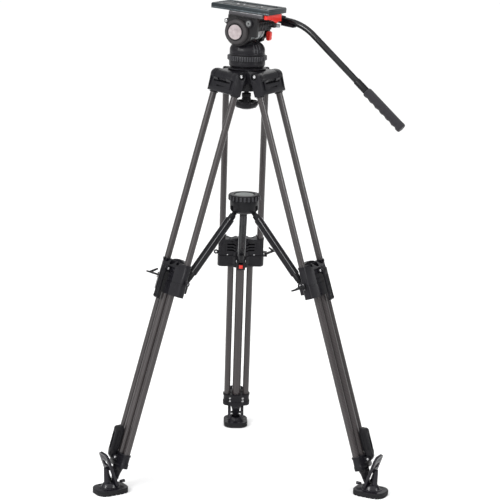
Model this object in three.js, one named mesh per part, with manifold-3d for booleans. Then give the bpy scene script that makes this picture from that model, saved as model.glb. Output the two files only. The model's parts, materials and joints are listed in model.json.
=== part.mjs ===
// Fluid head on a two-stage carbon tripod with a mid-level spreader and rubber feet.
// Millimetres, +Z up. The back leg points along +Y and the other two legs stand 120 degrees to either side.
// The finished group is shifted so that the origin is the middle of the bottom of its bounding box.
import * as THREE from 'three';
import { mergeVertices } from 'three/addons/utils/BufferGeometryUtils.js';
import Module from 'manifold-3d';

const wasm = await Module();
wasm.setup();

const DEG = Math.PI / 180;
const GAP = 0.35; // between parts that touch

// ---- driving dimensions ------------------------------------------------------------------------
const LEGS = [
  { name: 'back', turn: 0, clipTurn: 37, clipRoll: 60 },
  { name: 'left', turn: 120, clipTurn: 38, clipRoll: 90 },
  { name: 'right', turn: 240, clipTurn: -32, clipRoll: 0 },
];
const LEG_LEAN = 17.12; // degrees from vertical with the spreader fully open
const HINGE_RADIUS = 50.8; // leg hinge, from the tripod's axis
const HINGE_HEIGHT = 990;
const FOOT_RADIUS = 364;

const TUBE_OD = 16; // outer tubes of both stages
const TUBE_WALL = 1.5;
const UPPER_SPREAD = 96; // between the axes of a leg's two upper tubes
const MIDDLE_OD = 16.2;
const MIDDLE_SPREAD = 49.4;
const MIDDLE_OFFSET = 6.6; // the lower stages stand this far outside the upper tubes
const LOWER_OD = 21.8;
const SOCKET_DEPTH = 20;
const BORE_PLAY = 0.45; // radial, round a sliding tube
const BORE_SIDES = 12;

// stations down the leg, from its hinge
const SHOULDER_BOTTOM = 40;
const MID_TOP = 458;
const MID_SPLIT = 506;
const MID_BOTTOM = 537;
const LOWER_TOP = 937.7;
const LOWER_BOTTOM = 971.5;
const SPIKE_TIP = 1027;

const SPREADER_PIVOT = { out: -37.6, down: 506 }; // on the middle clamp, in the leg's frame
const HUB_PIVOT = { radius: 22, height: 663 };
const ARM_WIDTH = 17;
const ARM_HEIGHT = 13;
const HUB = { bottom: 655, ring: 688, top: 702, radius: 35, ringRadius: 38.6 };

const BOWL_RADIUS = 38.2;
const BALL_RADIUS = 37.2;
const BALL_HEIGHT = 1014; // centre of the half ball
const BASE = { bottom: 1014, ring: 1029, top: 1042, radius: 43.5 };
const DRAG_RING_RADIUS = 47.2;
const TILT_HEIGHT = 1101;
const HEAD_YAW = 59.15; // the head's forward direction is its own +Y
const HEAD_PITCH = 3.5; // front end up
const PLATE = { length: 157, width: 88, centre: 1.5, bottom: 47, top: 60 };
const DRUM_RADIUS = 29;
const FLANGE_RADIUS = 34;
const BAR_SIDE = 59.5; // pan bar, to the right of the head's middle
const BAR_OD = 15;

// ---- finishes ----------------------------------------------------------------------------------
function finish(color, roughness, metalness) {
  return new THREE.MeshStandardMaterial({ color, roughness, metalness });
}
const CASTING = finish(0x2b2b2e, 0.55, 0.3);
const CARBON = finish(0x3a3532, 0.35, 0.2);
const BLACK_PLASTIC = finish(0x161618, 0.45, 0.0);
const RED_PLASTIC = finish(0xd0281e, 0.4, 0.0);
const RUBBER = finish(0x1b1a1d, 0.7, 0.0);
const ANODISED = finish(0x303236, 0.4, 0.6);
const GREY_METAL = finish(0x9a9ea2, 0.4, 0.7);
const BLACK_TUBE = finish(0x0d0e10, 0.2, 0.5);

// ---- solids ------------------------------------------------------------------------------------
/** A closed geometry as a manifold solid. */
function solid(geometry) {
  const bare = geometry.clone();
  bare.deleteAttribute('normal');
  bare.deleteAttribute('uv');
  const merged = mergeVertices(bare, 1e-4);
  return new wasm.Manifold(new wasm.Mesh({
    numProp: 3,
    vertProperties: new Float32Array(merged.attributes.position.array),
    triVerts: new Uint32Array(merged.index.array),
  }));
}

/** A box between two corners. */
function box(x0, x1, y0, y1, z0, z1) {
  const geometry = new THREE.BoxGeometry(x1 - x0, y1 - y0, z1 - z0);
  return solid(geometry.translate((x0 + x1) / 2, (y0 + y1) / 2, (z0 + z1) / 2));
}

/** A cylinder or cone along X, Y or Z from one station to another. */
function rod(axis, from, to, a, b, radius, endRadius = radius, sides = 16) {
  const geometry = new THREE.CylinderGeometry(endRadius, radius, to - from, sides);
  geometry.translate(0, (from + to) / 2, 0);
  if (axis === 'x') geometry.rotateZ(-90 * DEG).translate(0, a, b);
  if (axis === 'y') geometry.translate(a, 0, b);
  if (axis === 'z') geometry.rotateX(90 * DEG).translate(a, b, 0);
  return solid(geometry);
}

/** A shape drawn in the plane across an axis (y,z for x; x,z for y; x,y for z), extruded along that axis. */
function slab(shape, axis, from, to, curveSegments = 6) {
  const geometry = new THREE.ExtrudeGeometry(shape, { depth: to - from, bevelEnabled: false, curveSegments });
  if (axis === 'z') geometry.translate(0, 0, from);
  if (axis === 'x') {
    geometry.translate(0, 0, from);
    geometry.applyMatrix4(new THREE.Matrix4().makeBasis(
      new THREE.Vector3(0, 1, 0), new THREE.Vector3(0, 0, 1), new THREE.Vector3(1, 0, 0)));
  }
  if (axis === 'y') geometry.rotateX(90 * DEG).translate(0, to, 0);
  return solid(geometry);
}

/** A profile of [radius, height] pairs turned about Z. It starts and ends on the axis, bottom first. */
function turned(profile, sides = 24) {
  const points = profile.map(([r, h]) => new THREE.Vector2(r, h));
  return solid(new THREE.LatheGeometry(points, sides).rotateX(90 * DEG));
}

/** A rectangle with rounded corners, centred on (cx, cy). */
function roundedRect(width, height, radius, cx = 0, cy = 0) {
  const [x0, x1, y0, y1] = [cx - width / 2, cx + width / 2, cy - height / 2, cy + height / 2];
  const shape = new THREE.Shape();
  shape.moveTo(x0 + radius, y0);
  shape.lineTo(x1 - radius, y0);
  shape.absarc(x1 - radius, y0 + radius, radius, -90 * DEG, 0);
  shape.lineTo(x1, y1 - radius);
  shape.absarc(x1 - radius, y1 - radius, radius, 0, 90 * DEG);
  shape.lineTo(x0 + radius, y1);
  shape.absarc(x0 + radius, y1 - radius, radius, 90 * DEG, 180 * DEG);
  shape.lineTo(x0, y0 + radius);
  shape.absarc(x0 + radius, y0 + radius, radius, 180 * DEG, 270 * DEG);
  return shape;
}

/** A closed polygon through the given points. */
function polygon(points) {
  return new THREE.Shape(points.map(([x, y]) => new THREE.Vector2(x, y)));
}

function join(...parts) {
  return parts.reduce((a, b) => a.add(b));
}

function cut(body, ...tools) {
  return tools.reduce((a, b) => a.subtract(b), body);
}

/** A named mesh of a solid. */
function piece(name, body, material) {
  const { vertProperties, triVerts } = body.getMesh();
  const geometry = new THREE.BufferGeometry();
  geometry.setAttribute('position', new THREE.BufferAttribute(new Float32Array(vertProperties), 3));
  geometry.setIndex(new THREE.BufferAttribute(new Uint32Array(triVerts), 1));
  geometry.computeVertexNormals();
  const mesh = new THREE.Mesh(geometry, material);
  mesh.name = name;
  return mesh;
}

/** An empty group at a joint, so that its axis can be read from the scene graph. */
function pivot(name, x, y, z) {
  const group = new THREE.Group();
  group.name = name;
  group.position.set(x, y, z);
  return group;
}

/** A thin-walled tube along Z. */
function tube(x, y, outer, wall, from, to) {
  const sides = 16;
  return cut(rod('z', from, to, x, y, outer / 2, outer / 2, sides),
    rod('z', from - 1, to + 1, x, y, outer / 2 - wall, outer / 2 - wall, sides));
}

// ---- one leg, in its own frame: X along its hinge, Y outward, Z up the leg, origin on the hinge --------
const TONGUE_HALF = 36; // half width of the crown's tongue between a shoulder's two cheeks
const SHOULDER_HALF = 57;
const CHEEK_RADIUS = 17;
const PIN_RADIUS = 5;

function shoulder() {
  const profile = new THREE.Shape();
  profile.moveTo(-10, -SHOULDER_BOTTOM);
  profile.lineTo(14, -SHOULDER_BOTTOM);
  profile.lineTo(CHEEK_RADIUS - 0.5, -5);
  profile.absarc(0, 0, CHEEK_RADIUS, -17 * DEG, 126 * DEG);
  const front = new THREE.Shape();
  front.moveTo(-SHOULDER_HALF, -SHOULDER_BOTTOM - 1);
  front.lineTo(SHOULDER_HALF, -SHOULDER_BOTTOM - 1);
  front.lineTo(SHOULDER_HALF, 6);
  front.absarc(SHOULDER_HALF - 12, 6, 12, 0, 90 * DEG);
  front.lineTo(12 - SHOULDER_HALF, 18);
  front.absarc(12 - SHOULDER_HALF, 6, 12, 90 * DEG, 180 * DEG);
  const body = slab(profile, 'x', -SHOULDER_HALF, SHOULDER_HALF, 8)
    .intersect(slab(front, 'y', -20, 20, 4));
  const tools = [
    box(-TONGUE_HALF - 0.5, TONGUE_HALF + 0.5, -30, 30, -16, 30),
    rod('x', -SHOULDER_HALF + 6, SHOULDER_HALF - 6, 0, 0, PIN_RADIUS + GAP, PIN_RADIUS + GAP, 12),
  ];
  for (const side of [-1, 1]) {
    const x = side * UPPER_SPREAD / 2;
    tools.push(rod('z', -SHOULDER_BOTTOM - 1, SOCKET_DEPTH - SHOULDER_BOTTOM, x, 0, TUBE_OD / 2 + GAP));
  }
  return cut(body, ...tools);
}

/** Outline of the middle clamp across the leg: a lobe round each upper tube and a thicker middle. */
function clampOutline(lobe, inner, outer) {
  const x = UPPER_SPREAD / 2;
  const shape = new THREE.Shape();
  shape.moveTo(-x, -lobe);
  shape.lineTo(-20, -lobe);
  shape.lineTo(-15, inner);
  shape.lineTo(15, inner);
  shape.lineTo(20, -lobe);
  shape.lineTo(x, -lobe);
  shape.absarc(x, 0, lobe, -90 * DEG, 75 * DEG);
  shape.lineTo(36, outer - 4);
  shape.lineTo(31, outer);
  shape.lineTo(-31, outer);
  shape.lineTo(-36, outer - 4);
  shape.absarc(-x, 0, lobe, 105 * DEG, 270 * DEG);
  return shape;
}

/** Two ears with a pin between them, for a lever or arm that turns about X. */
function ears(rootY, pinY, z, gapHalf, earWidth, radius) {
  const parts = [rod('x', -gapHalf - 1, gapHalf + 1, pinY, z, 3, 3, 10)];
  for (const x0 of [gapHalf, -gapHalf - earWidth]) {
    parts.push(box(x0, x0 + earWidth, Math.min(rootY, pinY), Math.max(rootY, pinY), z - radius, z + radius));
    parts.push(rod('x', x0, x0 + earWidth, pinY, z, radius, radius, 14));
  }
  return parts;
}

const MID_LEVER_PIN = { y: 27, z: -478 };
const LOW_LEVER_PIN = { y: 29, z: -950 };
const CLIP_PIN = { x: UPPER_SPREAD / 2 + 16, z: -505 };

function midClamp() {
  const upper = slab(clampOutline(10, -16, 20), 'z', -MID_SPLIT - 1, -MID_TOP, 4);
  const lower = slab(clampOutline(11.2, -17, 21), 'z', -MID_BOTTOM, -MID_SPLIT, 4);
  const arch = new THREE.Shape();
  arch.moveTo(-33, -MID_TOP - 2);
  arch.lineTo(33, -MID_TOP - 2);
  arch.lineTo(30, 1 - MID_TOP);
  arch.quadraticCurveTo(0, 12 - MID_TOP, -30, 1 - MID_TOP);
  const eyeletX = -UPPER_SPREAD / 2 - 15;
  const body = join(upper, lower, slab(arch, 'y', -14, -4, 4),
    ...ears(-14, SPREADER_PIVOT.out, -SPREADER_PIVOT.down, 6, 5, 7),
    box(-11, 11, -42, -14, -530, -512.5),
    ...ears(17, MID_LEVER_PIN.y, MID_LEVER_PIN.z, 9, 4.5, 5),
    rod('y', -3, 3, eyeletX, -500, 6, 6, 12),
    box(UPPER_SPREAD / 2, CLIP_PIN.x + 3, -5, 5, CLIP_PIN.z - 6, CLIP_PIN.z - 4.4),
    box(UPPER_SPREAD / 2, CLIP_PIN.x + 3, -5, 5, CLIP_PIN.z + 4.4, CLIP_PIN.z + 6),
    rod('z', CLIP_PIN.z - 5, CLIP_PIN.z + 5, CLIP_PIN.x, 0, 1.6, 1.6, 8));
  const hole = (from, to, x, y, radius) => rod('z', from, to, x, y, radius, radius, BORE_SIDES);
  const slope = polygon([[8, 1 - MID_TOP], [32, 1 - MID_TOP], [32, -MID_TOP - 13.5], [20.5, -MID_TOP - 13.5]]);
  const tools = [rod('y', -4, 4, eyeletX, -500, 3, 3, 8), slab(slope, 'x', -37, 37),
    hole(-MID_BOTTOM - 1, 30 - MID_TOP, 0, MIDDLE_OFFSET, LOWER_OD / 2 + BORE_PLAY),
    box(-6.4, 6.4, -50, -32, -525, -515)];
  for (const side of [-1, 1]) {
    const x = side * UPPER_SPREAD / 2;
    tools.push(hole(-MID_TOP - SOCKET_DEPTH, 1 - MID_TOP, x, 0, TUBE_OD / 2 + GAP));
    tools.push(hole(-MID_BOTTOM - 1, 30 - MID_TOP, side * MIDDLE_SPREAD / 2, MIDDLE_OFFSET,
      MIDDLE_OD / 2 + BORE_PLAY));
  }
  return cut(body, ...tools);
}

/** Flip lever of the middle clamp, pinned at its top and lying down the outer face, in the pin's frame. */
function midLever() {
  const side = polygon([[-4, 5], [4, 6], [8, 0], [8, -66], [3, -77], [-1, -77], [2.5, -64], [2.5, -12], [-4, -5]]);
  return cut(slab(side, 'x', -8.5, 8.5), rod('x', -10, 10, 0, 0, 3 + GAP, 3 + GAP, 12));
}

function lowerClamp() {
  const outline = new THREE.Shape();
  const x = MIDDLE_SPREAD / 2;
  const lobe = 11;
  outline.moveTo(-x, MIDDLE_OFFSET - lobe);
  outline.lineTo(-9, MIDDLE_OFFSET - 15);
  outline.lineTo(9, MIDDLE_OFFSET - 15);
  outline.lineTo(x, MIDDLE_OFFSET - lobe);
  outline.absarc(x, MIDDLE_OFFSET, lobe, -90 * DEG, 90 * DEG);
  outline.lineTo(14, MIDDLE_OFFSET + 15.5);
  outline.lineTo(-14, MIDDLE_OFFSET + 15.5);
  outline.absarc(-x, MIDDLE_OFFSET, lobe, 90 * DEG, 270 * DEG);
  const body = join(slab(outline, 'z', -LOWER_BOTTOM, -LOWER_TOP, 5),
    ...ears(16, LOW_LEVER_PIN.y, LOW_LEVER_PIN.z, 7, 4.5, 6));
  const tools = [rod('z', -LOWER_BOTTOM - 1, 1 - LOWER_TOP, 0, MIDDLE_OFFSET, LOWER_OD / 2 + BORE_PLAY)];
  for (const side of [-1, 1]) {
    tools.push(rod('z', -LOWER_TOP - SOCKET_DEPTH, 1 - LOWER_TOP, side * x, MIDDLE_OFFSET, MIDDLE_OD / 2 + GAP));
  }
  return cut(body, ...tools);
}

/** Flip lever of the lower clamp, pinned at its foot and lying up the leg, in the pin's frame. */
function lowerLever() {
  const side = polygon([[-4.5, -4], [4, -6], [11, 2], [13, 14], [13, 62], [6, 74], [-1, 77], [-2, 73],
    [5, 66], [6.5, 58], [6.5, 18], [-4, 4.5]]);
  return cut(slab(side, 'x', -6.5, 6.5), rod('x', -8, 8, 0, 0, 3 + GAP, 3 + GAP, 12));
}

function spikeFoot() {
  const body = join(
    rod('z', -984, -LOWER_BOTTOM - 1.5, 0, MIDDLE_OFFSET, 11.5, 13.2, 20),
    rod('z', -1014, -984, 0, MIDDLE_OFFSET, 6.6, 11.5, 20),
    rod('z', -SPIKE_TIP, -1014, 0, MIDDLE_OFFSET, 1.2, 6.6, 20),
    rod('x', -13, 13, MIDDLE_OFFSET, -1000, 3, 3, 12));
  return cut(body, rod('z', -LOWER_BOTTOM - 12, -LOWER_BOTTOM, 0, MIDDLE_OFFSET, LOWER_OD / 2 + GAP));
}

// Rubber shoe, in a level frame on the ground: X across the leg, Y outward, origin under its middle.
const SHOE = { length: 82, width: 62.6, sole: 13, height: 26 };
const SHOE_HINGE = { y: -10, z: 16 };
const SPIKE_POINT = { y: -4.6, z: 10.4 };

function rubberShoe() {
  const stretch = [SHOE.width / SHOE.length, 1, 1];
  const half = SHOE.length / 2;
  const boat = turned([[0, 0], [half - 3, 0], [half, 4], [half - 0.5, SHOE.sole], [half - 4, SHOE.sole + 2.5],
    [half - 13, SHOE.sole + 8], [half - 24, SHOE.height - 1.4], [0, SHOE.height]], 24).scale(stretch);
  const barLean = 19.9;
  const frame = new THREE.Shape();
  frame.moveTo(-21, 0);
  frame.lineTo(-13, 0);
  frame.lineTo(-13, 45);
  frame.lineTo(13, 45);
  frame.lineTo(13, 0);
  frame.lineTo(21, 0);
  frame.lineTo(21, 80);
  frame.quadraticCurveTo(21, 89, 12, 89);
  frame.lineTo(-12, 89);
  frame.quadraticCurveTo(-21, 89, -21, 80);
  const slot = roundedRect(24, 13, 5, 0, 62.5);
  frame.holes.push(slot);
  const strap = slab(frame, 'y', -3, 3, 4)
    .rotate([-barLean, 0, 0])
    .translate([0, SHOE_HINGE.y, 17]);
  const post = rod('z', 18, 62, 0, 9, 7.5, 6.5, 14);
  const peg = rod('y', -38, -26, 0, 23, 4, 4, 10);
  const pocket = rod('z', -3, 26, 0, 0, 5, 15, 16)
    .rotate([LEG_LEAN, 0, 0])
    .translate([0, SPIKE_POINT.y, SPIKE_POINT.z]);
  return join(cut(join(boat, peg), pocket), strap, post);
}

/** Spreader arm in its own frame: from the clamp's pin at the origin up to its tongue in the hub, along +Z. */
function spreaderArm(length) {
  const half = ARM_WIDTH / 2;
  const body = join(
    box(-half, half, -ARM_HEIGHT / 2, ARM_HEIGHT / 2, 14, length - 26),
    rod('z', 9, 34, 0, 0, 8.4, 8.4, 14),
    box(-5.5, 5.5, -5, 5, 0, 10),
    rod('x', -5.5, 5.5, 0, 0, 5.6, 5.6, 12),
    box(-5.7, 5.7, -6.2, 6.2, length - 27, length - 14),
    box(-4, 4, -4.5, 4.5, length - 30, length),
    rod('x', -4, 4, 0, length, 4.5, 4.5, 14));
  const tools = [rod('x', -7, 7, 0, 0, 3 + GAP, 3 + GAP, 12)];
  for (const side of [-1, 1]) {
    const groove = side > 0 ? [half - 1.8, half + 1] : [-half - 1, 1.8 - half];
    tools.push(box(...groove, -3.4, 3.4, 38, length - 44));
  }
  return cut(body, ...tools);
}

/** Transport clip: a short bar with a folding hook, turning about the pin through its root. */
function transportClip(roll) {
  const blade = solid(new THREE.BoxGeometry(22, 2.4, 6).translate(11, 0, 0)
    .rotateY(-135 * DEG).translate(25, 0, 0));
  const bar = join(box(0, 34, -2.4, 2.4, -2.4, 2.4), rod('z', -4, 4, 0, 0, 3.8, 3.8, 12));
  const body = join(bar, blade.rotate([roll - 60, 0, 0]));
  return cut(body, rod('z', -6, 6, 0, 0, 1.6 + GAP, 1.6 + GAP, 10));
}

function makeLeg({ name, turn, clipTurn, clipRoll }) {
  const around = pivot(`${name}_leg_place`, 0, 0, 0);
  around.rotation.z = turn * DEG;
  const leg = pivot(`${name}_leg_hinge`, 0, HINGE_RADIUS, HINGE_HEIGHT);
  leg.rotation.x = LEG_LEAN * DEG;
  around.add(leg);

  leg.add(piece(`${name}_leg_shoulder`, shoulder(), CASTING));
  for (const [side, x] of [['a', -1], ['b', 1]]) {
    leg.add(piece(`${name}_upper_tube_${side}`, tube(x * UPPER_SPREAD / 2, 0, TUBE_OD, TUBE_WALL,
      1 - MID_TOP - SOCKET_DEPTH, SOCKET_DEPTH - SHOULDER_BOTTOM - 1), CARBON));
    leg.add(piece(`${name}_middle_tube_${side}`, tube(x * MIDDLE_SPREAD / 2, MIDDLE_OFFSET, MIDDLE_OD, TUBE_WALL,
      1 - LOWER_TOP - SOCKET_DEPTH, -MID_TOP - 14), CARBON));
  }
  leg.add(piece(`${name}_middle_clamp`, midClamp(), CASTING));
  const midPin = pivot(`${name}_middle_lever_pin`, 0, MID_LEVER_PIN.y, MID_LEVER_PIN.z);
  midPin.add(piece(`${name}_middle_clamp_lever`, midLever(), BLACK_PLASTIC));
  leg.add(midPin);

  leg.add(piece(`${name}_lower_clamp`, lowerClamp(), CASTING));
  const lowPin = pivot(`${name}_lower_lever_pin`, 0, LOW_LEVER_PIN.y, LOW_LEVER_PIN.z);
  lowPin.add(piece(`${name}_lower_clamp_lever`, lowerLever(), BLACK_PLASTIC));
  leg.add(lowPin);
  leg.add(piece(`${name}_lower_tube`, tube(0, MIDDLE_OFFSET, LOWER_OD, TUBE_WALL,
    -LOWER_BOTTOM - 11, -MID_TOP - 54), CARBON));
  leg.add(piece(`${name}_spike_foot`, spikeFoot(), CASTING));

  const button = join(box(-6, 6, -44, -36, -524.6, -515.4), box(-4.5, 4.5, -45.5, -43, -523, -517));
  leg.add(piece(`${name}_arm_release_button`, button, RED_PLASTIC));
  const clipPin = pivot(`${name}_clip_pin`, CLIP_PIN.x, 0, CLIP_PIN.z);
  clipPin.rotation.z = clipTurn * DEG;
  clipPin.add(piece(`${name}_transport_clip`, transportClip(clipRoll), BLACK_PLASTIC));
  leg.add(clipPin);

  const shoe = pivot(`${name}_shoe_place`, 0, FOOT_RADIUS, 0);
  shoe.add(piece(`${name}_rubber_shoe`, rubberShoe(), RUBBER));
  shoe.add(pivot(`${name}_shoe_hinge`, 0, SHOE_HINGE.y, SHOE_HINGE.z));
  around.add(shoe);

  const [s, c] = [Math.sin(LEG_LEAN * DEG), Math.cos(LEG_LEAN * DEG)];
  const armFoot = {
    radius: HINGE_RADIUS + SPREADER_PIVOT.down * s + SPREADER_PIVOT.out * c,
    height: HINGE_HEIGHT - SPREADER_PIVOT.down * c + SPREADER_PIVOT.out * s,
  };
  const reach = armFoot.radius - HUB_PIVOT.radius;
  const rise = HUB_PIVOT.height - armFoot.height;
  const arm = pivot(`${name}_arm_pin`, 0, armFoot.radius, armFoot.height);
  arm.rotation.x = Math.atan2(reach, rise);
  arm.add(piece(`${name}_spreader_arm`, spreaderArm(Math.hypot(reach, rise)), BLACK_PLASTIC));
  around.add(arm);
  return around;
}

// ---- crown, spreader hub and the seat of the head --------------------------------------------------
function crown() {
  const body = turned([[0, 957], [34, 957], [36, 960], [36, 998], [43, 1007.8], [46, 1008.4], [46, 1011],
    [44, 1012], [0, 1012]], 32);
  const profile = new THREE.Shape();
  profile.moveTo(20, HINGE_HEIGHT - 14);
  profile.lineTo(HINGE_RADIUS, HINGE_HEIGHT - 14.4);
  profile.absarc(HINGE_RADIUS, HINGE_HEIGHT, 14.4, -90 * DEG, -35 * DEG);
  profile.absarc(HINGE_RADIUS, HINGE_HEIGHT, 16.8, -30 * DEG, 90 * DEG);
  profile.lineTo(20, HINGE_HEIGHT + 16.8);
  const tongue = join(slab(profile, 'x', -TONGUE_HALF, TONGUE_HALF, 6),
    rod('x', -SHOULDER_HALF + 9, SHOULDER_HALF - 9, HINGE_RADIUS, HINGE_HEIGHT, PIN_RADIUS, PIN_RADIUS, 12));
  const tongues = LEGS.map(({ turn }) => tongue.rotate([0, 0, turn]));
  const bowl = turned([[0, BALL_HEIGHT - BOWL_RADIUS], ...arcPoints(BOWL_RADIUS, -80, 0, 6, BALL_HEIGHT),
    [BOWL_RADIUS, BALL_HEIGHT + 5], [0, BALL_HEIGHT + 5]], 24);
  return cut(join(body, ...tongues), bowl, rod('z', 950, 990, 0, 0, 18));
}

/** Points of an arc about the Z axis, as [radius, height], between two angles above the horizon. */
function arcPoints(radius, from, to, steps, height) {
  return Array.from({ length: steps + 1 }, (_, i) => {
    const angle = (from + (to - from) * i / steps) * DEG;
    return [radius * Math.cos(angle), height + radius * Math.sin(angle)];
  });
}

/** Half ball with the flange that carries the pan bearing, and the stud of the tie-down. */
function headBase() {
  const ball = arcPoints(BALL_RADIUS, -80, -4, 6, BALL_HEIGHT);
  return join(
    turned([[0, 925], [6, 925], [6, BALL_HEIGHT - BALL_RADIUS + 0.4], ...ball, [37.1, 1014.5], [41, 1014.5],
      [BASE.radius, 1018], [BASE.radius, BASE.ring - GAP], [39, BASE.ring - GAP], [39, BASE.top],
      [0, BASE.top]], 24));
}

function tieDownKnob() {
  const body = turned([[0, 911], [12, 911], [24, 915], [29.3, 923], [29.3, 929.5], [26, 930.5], [16, 925],
    [11.2, 926], [11.2, 938], [10, 939], [11.2, 940], [11.2, 949], [8, 950], [0, 950]], 24);
  return cut(body, rod('z', 922, 952, 0, 0, 6 + GAP, 6 + GAP, 16));
}

/** Hub of the spreader, with a slot for each arm's tongue, open downwards and outwards. */
function spreaderHub() {
  const body = turned([[0, HUB.bottom], [22, HUB.bottom], [HUB.radius, HUB.bottom + 9],
    [HUB.radius, HUB.ring - 1], [HUB.ringRadius, HUB.ring], [HUB.ringRadius, HUB.top - 3],
    [HUB.ringRadius - 3, HUB.top], [25, HUB.top], [25, HUB.top - 1.5], [0, HUB.top - 1.5]], 28);
  const slots = LEGS.map(({ turn }) => box(-6, 6, 11, 60, HUB.bottom - 5, HUB.ring - 5).rotate([0, 0, turn]));
  return cut(body, ...slots);
}

// ---- fluid head, in its own frame: Y forward, X to the right ------------------------------------------
function dragRing() {
  const outline = new THREE.Shape();
  const lobes = 12;
  const steps = 6;
  for (let i = 0; i < lobes * steps; i += 1) {
    const r = DRAG_RING_RADIUS - (i % steps < 2 ? 2 : 0);
    const angle = i / (lobes * steps) * 360 * DEG;
    if (i === 0) outline.moveTo(r * Math.cos(angle), r * Math.sin(angle));
    else outline.lineTo(r * Math.cos(angle), r * Math.sin(angle));
  }
  return cut(slab(outline, 'z', BASE.ring, BASE.top), rod('z', BASE.ring - 1, BASE.top + 1, 0, 0, 39.8, 39.8, 28));
}

/** Pan housing: a domed drum with a neck that carries the tilt barrel. */
function panHousing() {
  const dome = turned([[0, BASE.top + GAP], [42.6, BASE.top + GAP], [42.6, 1053], [41, 1060], [37, 1067],
    [32, 1071.5], [22, 1075], [0, 1076]], 28);
  const neck = box(-30, 30, -15, 15, 1066, TILT_HEIGHT - 10);
  return join(dome, neck, rod('x', -37, 37, 0, TILT_HEIGHT, 27, 27, 28));
}

/** Outline of a side plate in the tilt frame (y, z): a disc with a bolt ear in front and the body behind. */
function sidePlate(radius) {
  const shape = new THREE.Shape();
  shape.moveTo(-50, -8);
  shape.absarc(0, 0, radius, 194 * DEG, 385 * DEG);
  shape.absarc(28, 24.5, 5.5, -30 * DEG, 120 * DEG);
  shape.lineTo(12, 37);
  shape.lineTo(-50, 37);
  return shape;
}

function tiltBody() {
  const receiver = polygon([[-44, 37], [44, 37], [44, 46.6], [-44, 46.6]]);
  const body = join(
    slab(receiver, 'y', -60, 31),
    box(-50, 50, -50, 32, 18, 38),
    box(-50, 50, -50, -34, 14, 20),
    box(-46, 46, -40, -34, 2, 15),
    slab(sidePlate(FLANGE_RADIUS), 'x', -50, -38.5, 12),
    slab(sidePlate(FLANGE_RADIUS), 'x', 38.5, 50, 12),
    rod('x', -63.5, -49, 0, 0, 20, 20, 24),
    rod('x', 49, 64, 0, 0, DRUM_RADIUS, DRUM_RADIUS, 28),
    rod('x', -57, -49, -31.5, 23.5, 9, 9, 16),
    rod('x', 49, 53, ROSETTE.y, ROSETTE.z, 12, 12, 18));
  return cut(body,
    box(-38.5, 38.5, -34, 26, -60, 24),
    rod('x', -38.5, 38.5, 0, 0, 29, 29, 28),
    slab(polygon([[-22, 41], [22, 41], [25, 48], [-25, 48]]), 'y', -70, 40),
    box(37, 52, -52, -20, -28, 8));
}

function cameraPlate() {
  const { length, width, centre, bottom, top } = PLATE;
  const side = polygon([[centre - length / 2, bottom], [centre + length / 2, bottom],
    [centre + length / 2, top - 2.5], [centre + length / 2 - 2.5, top], [centre - length / 2 + 2.5, top],
    [centre - length / 2, top - 2.5]]);
  const body = join(slab(side, 'x', -width / 2, width / 2),
    slab(polygon([[-21.5, 41.6], [21.5, 41.6], [24, bottom + 0.5], [-24, bottom + 0.5]]), 'y', -28, 22));
  return cut(body,
    box(-width / 2 + 5, width / 2 - 5, centre - length / 2 + 8, centre + length / 2 - 8, top - 1.5, top + 1),
    slab(roundedRect(9, 46, 4.4, 0, 26), 'z', 40, 70, 6),
    slab(roundedRect(9, 34, 4.4, 0, -34), 'z', 40, 70, 6));
}

/** Red lever that locks the plate: pinned at the left of the receiver's rear edge. */
const PLATE_LEVER_PIN = { x: -36, y: -66, z: 39 };
function plateLever() {
  const shape = new THREE.Shape();
  shape.moveTo(0, -4.6);
  shape.lineTo(50, -6);
  shape.lineTo(68, -7);
  shape.lineTo(68, 5.4);
  shape.lineTo(36, 5.4);
  shape.lineTo(0, 4.6);
  shape.absarc(0, 0, 4.6, 90 * DEG, 270 * DEG);
  const lever = slab(shape, 'z', -11, 6.2, 6)
    .intersect(slab(polygon([[-6, -3], [14, -4], [42, -11], [69, -11], [69, 6.2], [-6, 6.2]]), 'y', -9, 9));
  return join(lever, rod('z', -14, -9, 50, -1, 4.6, 4.6, 14));
}

/** Red tilt brake lever on the rim of the right side plate, in the frame of its own pin. */
const BRAKE_PIN = { x: 44, y: -34, z: -12 };
function tiltBrake() {
  return slab(roundedRect(13, 30, 5.5, -2, 1), 'x', -5.5, 6, 5);
}

/** Dial round the left drum that sets the tilt drag. */
function dragDial() {
  return cut(rod('x', -62.5, -50.4, 0, 0, DRUM_RADIUS + 0.5, DRUM_RADIUS + 0.5, 28),
    rod('x', -64, -49, 0, 0, 20.5, 20.5, 24));
}

// Pan bar, in the frame of its rosette: X across the head, the bar leaving towards -Y.
const ROSETTE = { x: BAR_SIDE, y: -38, z: 30 };
const BAR_START = { y: -16, z: -1.5 };
const BAR_BEND = { y: -77.4, z: -8.9 };
const BAR_SLOPE = 36.7; // degrees below the plate, past the bend
const BAR_RUN = 338;
const GRIP_LENGTH = 124;

function barPath() {
  const [s, c] = [Math.sin(BAR_SLOPE * DEG), Math.cos(BAR_SLOPE * DEG)];
  const path = new THREE.CurvePath();
  const start = new THREE.Vector3(0, BAR_START.y, BAR_START.z);
  const bend = new THREE.Vector3(0, BAR_BEND.y, BAR_BEND.z);
  const first = new THREE.Vector3().subVectors(bend, start).normalize();
  const second = new THREE.Vector3(0, -c, -s);
  const before = bend.clone().addScaledVector(first, -16);
  const after = bend.clone().addScaledVector(second, 16);
  path.add(new THREE.LineCurve3(start, before));
  path.add(new THREE.QuadraticBezierCurve3(before, bend, after));
  path.add(new THREE.LineCurve3(after, bend.clone().addScaledVector(second, BAR_RUN)));
  return path;
}

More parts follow.
